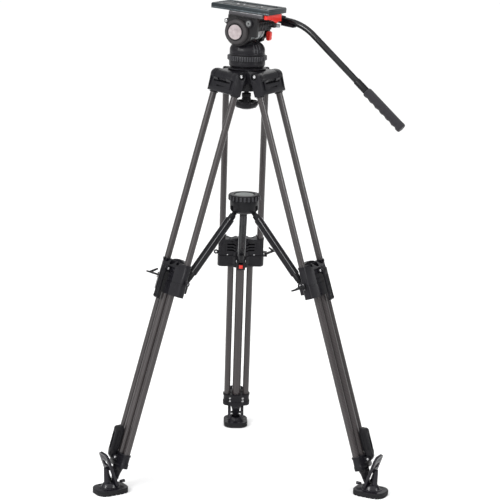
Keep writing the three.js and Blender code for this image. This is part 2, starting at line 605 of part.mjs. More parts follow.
/** A round tube swept along a path of straight runs and bends. */
function panBarTube() {
  const circle = new THREE.Shape();
  circle.absarc(0, 0, BAR_OD / 2, 0, 360 * DEG);
  return solid(new THREE.ExtrudeGeometry(circle, {
    steps: 26, bevelEnabled: false, curveSegments: 6, extrudePath: barPath(),
  }));
}

/** Foam grip pushed over the end of the bar. */
function panBarGrip() {
  const [s, c] = [Math.sin(BAR_SLOPE * DEG), Math.cos(BAR_SLOPE * DEG)];
  const end = BAR_RUN + 14;
  const body = turned([[0, end - GRIP_LENGTH], [10.4, end - GRIP_LENGTH], [11.6, end - GRIP_LENGTH + 5],
    [10.6, end - 95], [11.8, end - 80], [10.6, end - 62], [11.8, end - 46], [10.8, end - 28],
    [12.2, end - 9], [10, end], [0, end]], 18);
  const hole = rod('z', end - GRIP_LENGTH - 1, BAR_RUN + 1, 0, 0, BAR_OD / 2 + 0.6);
  return cut(body, hole)
    .rotate([90 + BAR_SLOPE, 0, 0])
    .translate([0, BAR_BEND.y, BAR_BEND.z]);
}

/** Clamp that holds the bar on the head's right side, with the tongue that runs under the bar. */
function barClamp() {
  const angle = Math.atan2(BAR_START.z - BAR_BEND.z, BAR_START.y - BAR_BEND.y) / DEG;
  const sleeve = cut(join(rod('y', -40, 1, 0, 0, 10.5, 10.5), box(-6, 6, -46, -10, -15, -7.5)),
    rod('y', -60, -0.3, 0, 0, BAR_OD / 2 + 1, BAR_OD / 2 + 1))
    .rotate([angle, 0, 0])
    .translate([0, BAR_START.y + 1, BAR_START.z]);
  const disc = rod('x', 53.4 - BAR_SIDE, 9, 0, 0, 13, 13, 20);
  return cut(join(sleeve, disc, box(53.4 - BAR_SIDE, 9, -15, 0, -9, 8)),
    box(-30, 50.7 - BAR_SIDE, -90, 20, -40, 40));
}

const CLAMP_KNOB = { y: -8, z: -14.5 };
function clampKnob() {
  const outline = new THREE.Shape();
  for (let i = 0; i < 36; i += 1) {
    const r = i % 3 ? 8.5 : 7.2;
    const angle = i * 10 * DEG;
    if (i === 0) outline.moveTo(r * Math.cos(angle), r * Math.sin(angle));
    else outline.lineTo(r * Math.cos(angle), r * Math.sin(angle));
  }
  return slab(outline, 'z', -8, 0);
}

function makeHead() {
  const head = pivot('head_place', 0, 0, 0);
  head.rotation.z = HEAD_YAW * DEG;
  head.add(pivot('ball_centre', 0, 0, BALL_HEIGHT));
  head.add(piece('head_base', headBase(), CASTING));
  head.add(piece('tie_down_knob', tieDownKnob(), BLACK_PLASTIC));
  head.add(piece('pan_drag_ring', dragRing(), BLACK_PLASTIC));
  head.add(piece('pan_housing', panHousing(), CASTING));

  const tilt = pivot('tilt_axis', 0, 0, TILT_HEIGHT);
  tilt.rotation.x = HEAD_PITCH * DEG;
  head.add(tilt);
  tilt.add(piece('tilt_body', tiltBody(), CASTING));
  tilt.add(piece('camera_plate', cameraPlate(), ANODISED));
  tilt.add(piece('tilt_drag_dial', dragDial(), BLACK_PLASTIC));
  const lever = pivot('plate_lever_pin', PLATE_LEVER_PIN.x, PLATE_LEVER_PIN.y, PLATE_LEVER_PIN.z);
  lever.add(piece('plate_lock_lever', plateLever(), RED_PLASTIC));
  tilt.add(lever);
  const brake = pivot('tilt_brake_pin', BRAKE_PIN.x, BRAKE_PIN.y, BRAKE_PIN.z);
  brake.add(piece('tilt_brake_lever', tiltBrake(), RED_PLASTIC));
  tilt.add(brake);

  const rosette = pivot('pan_bar_rosette', ROSETTE.x, ROSETTE.y, ROSETTE.z);
  rosette.add(piece('pan_bar_clamp', barClamp(), CASTING));
  rosette.add(piece('pan_bar_tube', panBarTube(), BLACK_TUBE));
  rosette.add(piece('pan_bar_grip', panBarGrip(), RUBBER));
  const knob = pivot('clamp_knob_axis', 0, CLAMP_KNOB.y, CLAMP_KNOB.z);
  knob.add(piece('pan_bar_clamp_knob', clampKnob(), GREY_METAL));
  rosette.add(knob);
  tilt.add(rosette);
  return head;
}

// ---- the whole ------------------------------------------------------------------------------------
const tripod = new THREE.Group();
tripod.name = 'fluid_head_tripod';
LEGS.forEach((leg) => tripod.add(makeLeg(leg)));
tripod.add(piece('crown', crown(), CASTING));
tripod.add(piece('spreader_hub', spreaderHub(), BLACK_PLASTIC));
tripod.add(makeHead());

tripod.updateMatrixWorld(true);
const bounds = new THREE.Box3().setFromObject(tripod, true);
const middle = bounds.getCenter(new THREE.Vector3());
tripod.position.set(-middle.x, -middle.y, -bounds.min.z);
tripod.updateMatrixWorld(true);

export default tripod;
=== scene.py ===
"""Fluid head on a carbon tripod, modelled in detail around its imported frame.

Every piece is built in its own bench frame in millimetres, then placed by the frame's joints.
"""

import json
import logging
import math
from collections.abc import Sequence
from dataclasses import dataclass
from enum import Enum

import bmesh
import bpy
from mathutils import Matrix, Vector

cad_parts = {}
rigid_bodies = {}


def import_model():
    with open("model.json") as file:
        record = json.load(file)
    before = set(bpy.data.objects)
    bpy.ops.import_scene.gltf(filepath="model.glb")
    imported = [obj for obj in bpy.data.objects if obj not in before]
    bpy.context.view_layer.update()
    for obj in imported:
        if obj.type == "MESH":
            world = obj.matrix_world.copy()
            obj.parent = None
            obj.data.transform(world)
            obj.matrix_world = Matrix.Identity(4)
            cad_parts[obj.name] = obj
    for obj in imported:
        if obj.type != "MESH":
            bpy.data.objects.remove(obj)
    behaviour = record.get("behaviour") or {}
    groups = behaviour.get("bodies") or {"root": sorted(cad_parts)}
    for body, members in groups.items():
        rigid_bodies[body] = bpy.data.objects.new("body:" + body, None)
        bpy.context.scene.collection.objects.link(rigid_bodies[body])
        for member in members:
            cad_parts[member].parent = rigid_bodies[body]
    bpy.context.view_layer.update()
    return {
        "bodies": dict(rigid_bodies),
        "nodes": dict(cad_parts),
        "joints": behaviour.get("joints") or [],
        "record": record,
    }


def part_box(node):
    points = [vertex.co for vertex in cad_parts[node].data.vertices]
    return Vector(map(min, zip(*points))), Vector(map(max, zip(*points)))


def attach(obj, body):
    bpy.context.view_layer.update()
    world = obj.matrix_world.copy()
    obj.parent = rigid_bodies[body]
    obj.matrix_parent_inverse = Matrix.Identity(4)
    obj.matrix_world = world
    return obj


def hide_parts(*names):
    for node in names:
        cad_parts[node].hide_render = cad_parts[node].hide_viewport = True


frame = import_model()

log = logging.getLogger("tripod")

MM = 0.001
LEGS = ("back", "left", "right")
BENCH = "bench"  # attribute that holds each point's place on the bench
EDGE = "edge"  # face attribute, 1 on the rounded edges

Point = tuple[float, float]
Span = tuple[float, float]


class Axis(Enum):
    """A direction of the bench frame."""

    X = 0
    Y = 1
    Z = 2

    def place(self, a: float, b: float, along: float) -> Vector:
        """Put (a, b) in the plane across this axis, at a station along it.

        Args:
            a: First coordinate across the axis, in millimetres.
            b: Second coordinate across the axis, in millimetres.
            along: Station along the axis, in millimetres.

        Returns:
            The point, in metres.
        """
        order = {Axis.X: (along, a, b), Axis.Y: (a, along, b), Axis.Z: (a, b, along)}
        return Vector(order[self]) * MM


class Join(Enum):
    """How two solids are combined."""

    CUT = "DIFFERENCE"
    ADD = "UNION"
    COMMON = "INTERSECT"


def arc(cx: float, cy: float, radius: float, start: float, end: float, steps: int = 8) -> list[Point]:
    """Points of an arc.

    Args:
        cx: Centre, first coordinate.
        cy: Centre, second coordinate.
        radius: Radius in millimetres.
        start: First angle in degrees.
        end: Last angle in degrees.
        steps: Number of chords.

    Returns:
        The points from start to end.
    """
    angles = [math.radians(start + (end - start) * i / steps) for i in range(steps + 1)]
    return [(cx + radius * math.cos(t), cy + radius * math.sin(t)) for t in angles]


def rounded(width: float, height: float, radius: float, cx: float = 0, cy: float = 0) -> list[Point]:
    """Outline of a rectangle with round corners, centred on (cx, cy)."""
    dx, dy = width / 2 - radius, height / 2 - radius
    corners = ((dx, dy, 0), (-dx, dy, 90), (-dx, -dy, 180), (dx, -dy, 270))
    return [p for x, y, t in corners for p in arc(cx + x, cy + y, radius, t, t + 90, 5)]


class Bench:
    """Blender's modelling tools, used as by hand. Sizes are in millimetres, in the piece's own frame."""

    @staticmethod
    def clear() -> None:
        """Leave edit mode and deselect everything."""
        if bpy.context.object and bpy.context.object.mode != "OBJECT":
            bpy.ops.object.mode_set(mode="OBJECT")
        bpy.ops.object.select_all(action="DESELECT")

    @staticmethod
    def pick(obj: bpy.types.Object, *others: bpy.types.Object) -> None:
        """Select some objects and make the first one active."""
        Bench.clear()
        for each in (obj, *others):
            each.select_set(True)
        bpy.context.view_layer.objects.active = obj

    @staticmethod
    def apply_place(obj: bpy.types.Object) -> None:
        """Move an object's place, turn and scale into its mesh."""
        Bench.pick(obj)
        bpy.ops.object.transform_apply(location=True, rotation=True, scale=True)

    @staticmethod
    def chain(points: Sequence[Vector]) -> bpy.types.Object:
        """Trace a chain of edges by extruding one vertex from point to point, and stay in edit mode."""
        Bench.clear()
        bpy.ops.mesh.primitive_plane_add(size=MM, location=points[0])
        obj = bpy.context.active_object
        bpy.ops.object.transform_apply(location=True, rotation=True, scale=True)
        bpy.ops.object.mode_set(mode="EDIT")
        bpy.ops.mesh.select_all(action="SELECT")
        bpy.ops.mesh.merge(type="CENTER")
        for a, b in zip(points, points[1:]):
            bpy.ops.mesh.extrude_region_move(TRANSFORM_OT_translate={"value": b - a})
        return obj

    @staticmethod
    def prism(points: Sequence[Point], axis: Axis, low: float, high: float) -> bpy.types.Object:
        """Extrude a closed outline along an axis.

        Args:
            points: Outline across the axis.
            axis: Direction of the extrusion.
            low: First station along the axis.
            high: Last station along the axis.

        Returns:
            The closed solid.
        """
        tidy = [p for i, p in enumerate(points) if math.dist(p, points[i - 1]) > 0.01]
        obj = Bench.chain([axis.place(a, b, low) for a, b in tidy])
        mesh = bmesh.from_edit_mesh(obj.data)
        mesh.verts.ensure_lookup_table()
        for vert in mesh.verts:
            vert.select = vert.index in (0, len(mesh.verts) - 1)
        mesh.select_flush(True)
        bpy.ops.mesh.edge_face_add()
        bpy.ops.mesh.select_all(action="SELECT")
        bpy.ops.mesh.edge_face_add()
        travel = axis.place(0, 0, high - low)
        bpy.ops.mesh.extrude_region_move(TRANSFORM_OT_translate={"value": travel})
        return Bench.close(obj)

    @staticmethod
    def turned(profile: Sequence[Point], steps: int = 48, closed: bool = False) -> bpy.types.Object:
        """Spin a profile of (radius, height) points about Z.

        Args:
            profile: Points from the lower end of the axis to its upper end, or a ring's section.
            steps: Number of steps in the full turn.
            closed: True for a ring's section, which closes on itself.

        Returns:
            The closed solid.
        """
        points = [*profile, profile[0]] if closed else list(profile)
        obj = Bench.chain([Axis.Y.place(r, h, 0) for r, h in points])
        bpy.ops.mesh.select_all(action="SELECT")
        bpy.ops.mesh.spin(steps=steps, angle=math.tau, center=(0, 0, 0), axis=(0, 0, 1))
        return Bench.close(obj)

    @staticmethod
    def close(obj: bpy.types.Object) -> bpy.types.Object:
        """Merge doubles, face every side outwards and leave edit mode."""
        bpy.ops.mesh.select_all(action="SELECT")
        bpy.ops.mesh.remove_doubles(threshold=1e-6)
        bpy.ops.mesh.normals_make_consistent(inside=False)
        bpy.ops.object.mode_set(mode="OBJECT")
        return obj

    @staticmethod
    def rod(axis: Axis, low: float, high: float, at: Point, radius: float,
            end_radius: float | None = None, sides: int = 32) -> bpy.types.Object:
        """A round bar or cone along an axis.

        Args:
            axis: Its direction.
            low: First station along the axis.
            high: Last station along the axis.
            at: Centre across the axis.
            radius: Radius at the first station.
            end_radius: Radius at the last station, the same if left out.
            sides: Number of sides.

        Returns:
            The closed solid.
        """
        Bench.clear()
        turn = {Axis.X: (0, math.pi / 2, 0), Axis.Y: (-math.pi / 2, 0, 0), Axis.Z: (0, 0, 0)}[axis]
        end = radius if end_radius is None else end_radius
        bpy.ops.mesh.primitive_cone_add(
            vertices=sides, radius1=radius * MM, radius2=end * MM, depth=(high - low) * MM,
            location=axis.place(*at, (low + high) / 2), rotation=turn)
        obj = bpy.context.active_object
        Bench.apply_place(obj)
        return obj

    @staticmethod
    def block(x: Span, y: Span, z: Span) -> bpy.types.Object:
        """A box between two corners, as a start for cutting and rounding."""
        Bench.clear()
        centre = Vector((sum(x), sum(y), sum(z))) * MM / 2
        bpy.ops.mesh.primitive_cube_add(size=1, location=centre)
        obj = bpy.context.active_object
        obj.scale = [(span[1] - span[0]) * MM for span in (x, y, z)]
        Bench.apply_place(obj)
        return obj

    @staticmethod
    def combine(how: Join, obj: bpy.types.Object, *tools: bpy.types.Object) -> bpy.types.Object:
        """Cut, add or intersect solids with boolean modifiers, using up the tools."""
        for tool in tools:
            Bench.pick(obj)
            step = obj.modifiers.new("boolean", "BOOLEAN")
            step.operation, step.solver, step.object = how.value, "EXACT", tool
            bpy.ops.object.modifier_apply(modifier=step.name)
            bpy.data.objects.remove(tool, do_unlink=True)
        return obj

    @staticmethod
    def cut(obj: bpy.types.Object, *tools: bpy.types.Object) -> bpy.types.Object:
        """Cut tools out of a solid."""
        return Bench.combine(Join.CUT, obj, *tools)

    @staticmethod
    def add(obj: bpy.types.Object, *parts: bpy.types.Object) -> bpy.types.Object:
        """Merge solids into one."""
        return Bench.combine(Join.ADD, obj, *parts)

    @staticmethod
    def gather(obj: bpy.types.Object, *parts: bpy.types.Object) -> bpy.types.Object:
        """Put separate shells into one object."""
        Bench.pick(obj, *parts)
        bpy.ops.object.join()
        return obj

    @staticmethod
    def turn(obj: bpy.types.Object, axis: Axis, degrees: float,
             about: tuple[float, float, float] = (0, 0, 0)) -> bpy.types.Object:
        """Turn a solid about an axis through a point."""
        centre = Matrix.Translation(Vector(about) * MM)
        obj.matrix_world = centre @ Matrix.Rotation(math.radians(degrees), 4, axis.name) @ centre.inverted()
        Bench.apply_place(obj)
        return obj

    @staticmethod
    def move(obj: bpy.types.Object, x: float = 0, y: float = 0, z: float = 0) -> bpy.types.Object:
        """Move a solid."""
        obj.location = Vector((x, y, z)) * MM
        Bench.apply_place(obj)
        return obj

    @staticmethod
    def soften(obj: bpy.types.Object, width: float = 0.7, segments: int = 2, angle: float = 32) -> bpy.types.Object:
        """Round the sharp edges and note which faces are the rounding.

        Args:
            obj: The solid.
            width: Width of the rounding in millimetres.
            segments: Number of steps across it.
            angle: Smallest angle between faces that counts as sharp, in degrees.

        Returns:
            The same object, smooth shaded.
        """
        Bench.pick(obj)
        obj.data.materials.clear()
        obj.data.materials.append(None)
        obj.data.materials.append(None)
        bevel = obj.modifiers.new("bevel", "BEVEL")
        bevel.width, bevel.segments = width * MM, segments
        bevel.limit_method, bevel.angle_limit = "ANGLE", math.radians(angle)
        bevel.use_clamp_overlap, bevel.material = True, 1
        bpy.ops.object.modifier_apply(modifier=bevel.name)
        marks = [float(face.material_index == 1) for face in obj.data.polygons]
        layer = obj.data.attributes.new(EDGE, "FLOAT", "FACE")
        layer.data.foreach_set("value", marks)
        obj.data.polygons.foreach_set("material_index", [0] * len(marks))
        obj.data.materials.clear()
        bpy.ops.object.shade_smooth_by_angle(angle=math.radians(38))
        return obj

    @staticmethod
    def mark(obj: bpy.types.Object) -> bpy.types.Object:
        """Note each point's place on the bench, which the materials read."""
        layer = obj.data.attributes.get(BENCH) or obj.data.attributes.new(BENCH, "FLOAT_VECTOR", "POINT")
        flat = [c for vert in obj.data.vertices for c in vert.co]
        layer.data.foreach_set("vector", flat)
        return obj


# ---- shader groups and finishes ------------------------------------------------------------------

class Nodes:
    """Small helper that adds and links shader nodes in one tree."""

    def __init__(self, tree: bpy.types.NodeTree) -> None:
        """Start with an empty tree.

        Args:
            tree: The node tree to fill.
        """
        self.tree = tree
        tree.nodes.clear()

    def add(self, kind: str, **settings: object) -> bpy.types.Node:
        """Add a node and set its properties."""
        node = self.tree.nodes.new(kind)
        for name, value in settings.items():
            setattr(node, name, value)
        return node

    def feed(self, socket: bpy.types.NodeSocket, value: object) -> None:
        """Link an output to a socket, or set the socket's own value."""
        if isinstance(value, bpy.types.NodeSocket):
            self.tree.links.new(value, socket)
        else:
            socket.default_value = value

    def math(self, operation: str, *values: object, clamp: bool = False) -> bpy.types.NodeSocket:
        """Add a Math node and return its output."""
        node = self.add("ShaderNodeMath", operation=operation, use_clamp=clamp)
        for socket, value in zip(node.inputs, values):
            self.feed(socket, value)
        return node.outputs[0]

    def mix(self, factor: object, a: object, b: object) -> bpy.types.NodeSocket:
        """Blend two colours."""
        node = self.add("ShaderNodeMix", data_type="RGBA")
        self.feed(node.inputs["Factor"], factor)
        self.feed(node.inputs[6], a)
        self.feed(node.inputs[7], b)
        return node.outputs[2]

    def noise(self, vector: object, scale: float, detail: float = 2.0) -> bpy.types.NodeSocket:
        """Add a noise texture and return its value."""
        node = self.add("ShaderNodeTexNoise")
        node.inputs["Scale"].default_value = scale
        node.inputs["Detail"].default_value = detail
        self.feed(node.inputs["Vector"], vector)
        return node.outputs["Fac"]

    def span(self, value: object, low: float, high: float, to_low: float = 0.0,
             to_high: float = 1.0) -> bpy.types.NodeSocket:
        """Map a value from one range to another, clamped."""
        node = self.add("ShaderNodeMapRange", clamp=True)
        for name, given in zip(("Value", "From Min", "From Max", "To Min", "To Max"),
                               (value, low, high, to_low, to_high)):
            self.feed(node.inputs[name], given)
        return node.outputs[0]


def group(name: str, inputs: dict[str, tuple[str, object]], outputs: dict[str, str]) -> tuple:
    """Make an empty shader node group.

    Args:
        name: Name of the group.
        inputs: Socket name to its kind and default value.
        outputs: Socket name to its kind.

    Returns:
        The group, its node helper, its input node's outputs and its output node's inputs.
    """
    tree = bpy.data.node_groups.new(name, "ShaderNodeTree")
    for label, (kind, value) in inputs.items():
        socket = tree.interface.new_socket(name=label, in_out="INPUT", socket_type=kind)
        socket.default_value = value
    for label, kind in outputs.items():
        tree.interface.new_socket(name=label, in_out="OUTPUT", socket_type=kind)
    nodes = Nodes(tree)
    entry, leave = nodes.add("NodeGroupInput"), nodes.add("NodeGroupOutput")
    return tree, nodes, entry.outputs, leave.inputs


FLOAT, COLOUR, VECTOR = "NodeSocketFloat", "NodeSocketColor", "NodeSocketVector"


def make_wear_group() -> bpy.types.NodeTree:
    """Rubbed edges: a mask that follows the rounded edges, broken up by noise."""
    tree, nodes, entry, leave = group(
        "rubbed_edges", {"Amount": (FLOAT, 0.5), "Scale": (FLOAT, 90.0)}, {"Mask": FLOAT})
    edge = nodes.add("ShaderNodeAttribute", attribute_name=EDGE).outputs["Fac"]
    place = nodes.add("ShaderNodeAttribute", attribute_name=BENCH).outputs["Vector"]
    noise = nodes.add("ShaderNodeTexNoise")
    noise.inputs["Detail"].default_value = 3.0
    nodes.feed(noise.inputs["Vector"], place)
    nodes.feed(noise.inputs["Scale"], entry["Scale"])
    patch = nodes.span(noise.outputs["Fac"], 0.35, 0.65, 0.35, 1.0)
    nodes.feed(leave["Mask"], nodes.math("MULTIPLY", nodes.math("MULTIPLY", edge, patch), entry["Amount"]))
    return tree


def make_grain_group() -> bpy.types.NodeTree:
    """Surface grain: fine pits for a bump, and broad handling marks for tone and roughness."""
    tree, nodes, entry, leave = group(
        "surface_grain", {"Fine": (FLOAT, 1500.0), "Broad": (FLOAT, 14.0)},
        {"Height": FLOAT, "Tone": FLOAT})
    place = nodes.add("ShaderNodeAttribute", attribute_name=BENCH).outputs["Vector"]
    fine = nodes.add("ShaderNodeTexNoise")
    broad = nodes.add("ShaderNodeTexNoise")
    for node, label, detail in ((fine, "Fine", 1.0), (broad, "Broad", 4.0)):
        node.inputs["Detail"].default_value = detail
        nodes.feed(node.inputs["Vector"], place)
        nodes.feed(node.inputs["Scale"], entry[label])
    nodes.feed(leave["Height"], fine.outputs["Fac"])
    nodes.feed(leave["Tone"], nodes.span(broad.outputs["Fac"], 0.3, 0.7))
    return tree


def make_weave_group() -> bpy.types.NodeTree:
    """Twill weave wrapped round a tube: which thread lies on top, and the height of the threads."""
    tree, nodes, entry, leave = group(
        "twill_weave", {"Thread": (FLOAT, 0.002), "Radius": (FLOAT, 0.008)}, {"Over": FLOAT, "Height": FLOAT})
    place = nodes.add("ShaderNodeAttribute", attribute_name=BENCH).outputs["Vector"]
    split = nodes.add("ShaderNodeSeparateXYZ")
    nodes.feed(split.inputs[0], place)
    angle = nodes.math("ARCTAN2", split.outputs["Y"], split.outputs["X"])
    round_it = nodes.math("DIVIDE", nodes.math("MULTIPLY", angle, entry["Radius"]), entry["Thread"])
    along = nodes.math("DIVIDE", split.outputs["Z"], entry["Thread"])
    cells = nodes.math("ADD", nodes.math("FLOOR", round_it), nodes.math("FLOOR", along))
    phase = nodes.math("FLOORED_MODULO", cells, 4.0)
    over = nodes.math("LESS_THAN", phase, 1.5)
    ridge_a = nodes.math("PINGPONG", round_it, 0.5)
    ridge_b = nodes.math("PINGPONG", along, 0.5)
    blend = nodes.add("ShaderNodeMix", data_type="FLOAT")
    nodes.feed(blend.inputs[0], over)
    nodes.feed(blend.inputs[2], ridge_a)
    nodes.feed(blend.inputs[3], ridge_b)
    nodes.feed(leave["Over"], over)
    nodes.feed(leave["Height"], blend.outputs[0])
    return tree


@dataclass(frozen=True)
class Finish:
    """A finish of one kind of surface: two tones, rubbed edges and a grain."""

    name: str
    tone: tuple[float, float, float]
    other: tuple[float, float, float]
    rubbed: tuple[float, float, float]
    roughness: Span = (0.4, 0.55)
    metallic: float = 0.0
    wear: float = 0.5
    grain: float = 1500.0
    bump: float = 0.12
    coat: float = 0.0
    sheen: float = 0.0
    specular: float = 0.16

    def build(self, groups: dict[str, bpy.types.NodeTree]) -> bpy.types.Material:
        """Make the material.

        Args:
            groups: The shared shader groups by name.

        Returns:
            The node material.
        """
        material = bpy.data.materials.new(self.name)
        material.use_nodes = True
        nodes = Nodes(material.node_tree)
        shader = nodes.add("ShaderNodeBsdfPrincipled")
        nodes.feed(nodes.add("ShaderNodeOutputMaterial").inputs["Surface"], shader.outputs[0])
        grain = nodes.add("ShaderNodeGroup", node_tree=groups["grain"])
        grain.inputs["Fine"].default_value = self.grain
        wear = nodes.add("ShaderNodeGroup", node_tree=groups["wear"])
        wear.inputs["Amount"].default_value = self.wear
        base = nodes.mix(grain.outputs["Tone"], (*self.tone, 1), (*self.other, 1))
        base, height = self.pattern(nodes, groups, base, grain.outputs["Height"])
        nodes.feed(shader.inputs["Base Color"], nodes.mix(wear.outputs["Mask"], base, (*self.rubbed, 1)))
        rough = nodes.span(grain.outputs["Tone"], 0, 1, *self.roughness)
        nodes.feed(shader.inputs["Roughness"], rough)
        shader.inputs["Metallic"].default_value = self.metallic
        shader.inputs["Specular IOR Level"].default_value = self.specular
        shader.inputs["Coat Weight"].default_value = self.coat
        shader.inputs["Coat Roughness"].default_value = 0.12
        shader.inputs["Sheen Weight"].default_value = self.sheen
        bump = nodes.add("ShaderNodeBump")
        bump.inputs["Strength"].default_value = self.bump
        bump.inputs["Distance"].default_value = 0.0004
        nodes.feed(bump.inputs["Height"], height)
        nodes.feed(shader.inputs["Normal"], bump.outputs[0])
        return material

    def pattern(self, nodes: Nodes, groups: dict[str, bpy.types.NodeTree], base: bpy.types.NodeSocket,
                height: bpy.types.NodeSocket) -> tuple[bpy.types.NodeSocket, bpy.types.NodeSocket]:
        """Leave colour and height as they are; a finish with a pattern changes them."""
        return base, height


@dataclass(frozen=True)
class CarbonFinish(Finish):
    """Clear-coated carbon cloth round a tube."""

    thread: tuple[float, float, float] = (0.1, 0.09, 0.088)
    radius: float = 8.0

    def pattern(self, nodes: Nodes, groups: dict[str, bpy.types.NodeTree], base: bpy.types.NodeSocket,
                height: bpy.types.NodeSocket) -> tuple[bpy.types.NodeSocket, bpy.types.NodeSocket]:
        """Weave the lighter threads over the darker ones, with fine fibres along the tube."""
        weave = nodes.add("ShaderNodeGroup", node_tree=groups["weave"])
        weave.inputs["Radius"].default_value = self.radius * MM
        place = nodes.add("ShaderNodeAttribute", attribute_name=BENCH).outputs["Vector"]
        stretch = nodes.add("ShaderNodeMapping")
        stretch.inputs["Scale"].default_value = (1, 1, 0.03)
        nodes.feed(stretch.inputs["Vector"], place)
        fibre = nodes.span(nodes.noise(stretch.outputs[0], 1800, 2), 0.35, 0.65)
        over = nodes.math("MULTIPLY", weave.outputs["Over"], 0.6)
        woven = nodes.mix(nodes.math("ADD", over, nodes.math("MULTIPLY", fibre, 0.4)), base, (*self.thread, 1))
        return woven, nodes.math("ADD", weave.outputs["Height"], nodes.math("MULTIPLY", fibre, 0.15))


@dataclass(frozen=True)
class FoamFinish(Finish):
    """Closed-cell foam with open pores on its skin."""

    pores: float = 900.0

    def pattern(self, nodes: Nodes, groups: dict[str, bpy.types.NodeTree], base: bpy.types.NodeSocket,
                height: bpy.types.NodeSocket) -> tuple[bpy.types.NodeSocket, bpy.types.NodeSocket]:
        """Pit the skin with small cells, with painted shade darkening their insides."""
        place = nodes.add("ShaderNodeAttribute", attribute_name=BENCH).outputs["Vector"]
        cells = nodes.add("ShaderNodeTexVoronoi")
        cells.inputs["Scale"].default_value = self.pores
        nodes.feed(cells.inputs["Vector"], place)
        pore_pit_and_shade = nodes.span(cells.outputs["Distance"], 0.1, 0.45)
        # Painted shade: each pore is darkened towards its middle.
        dark = tuple(c * 0.45 for c in self.tone)
        return nodes.mix(pore_pit_and_shade, (*dark, 1), base), nodes.math("ADD", pore_pit_and_shade, nodes.math("MULTIPLY", height, 0.3))


@dataclass(frozen=True)
class BrushedFinish(Finish):
    """Metal turned or brushed round its axis."""

    lines: float = 700.0

    def pattern(self, nodes: Nodes, groups: dict[str, bpy.types.NodeTree], base: bpy.types.NodeSocket,
                height: bpy.types.NodeSocket) -> tuple[bpy.types.NodeSocket, bpy.types.NodeSocket]:
        """Draw fine lines along the brushing."""
        place = nodes.add("ShaderNodeAttribute", attribute_name=BENCH).outputs["Vector"]
        stretch = nodes.add("ShaderNodeMapping")
        stretch.inputs["Scale"].default_value = (1, 0.05, 0.05)
        nodes.feed(stretch.inputs["Vector"], place)
        lines = nodes.span(nodes.noise(stretch.outputs[0], self.lines * 3, 3), 0.3, 0.7)
        dark = tuple(c * 0.75 for c in self.tone)
        return nodes.mix(lines, (*dark, 1), base), lines


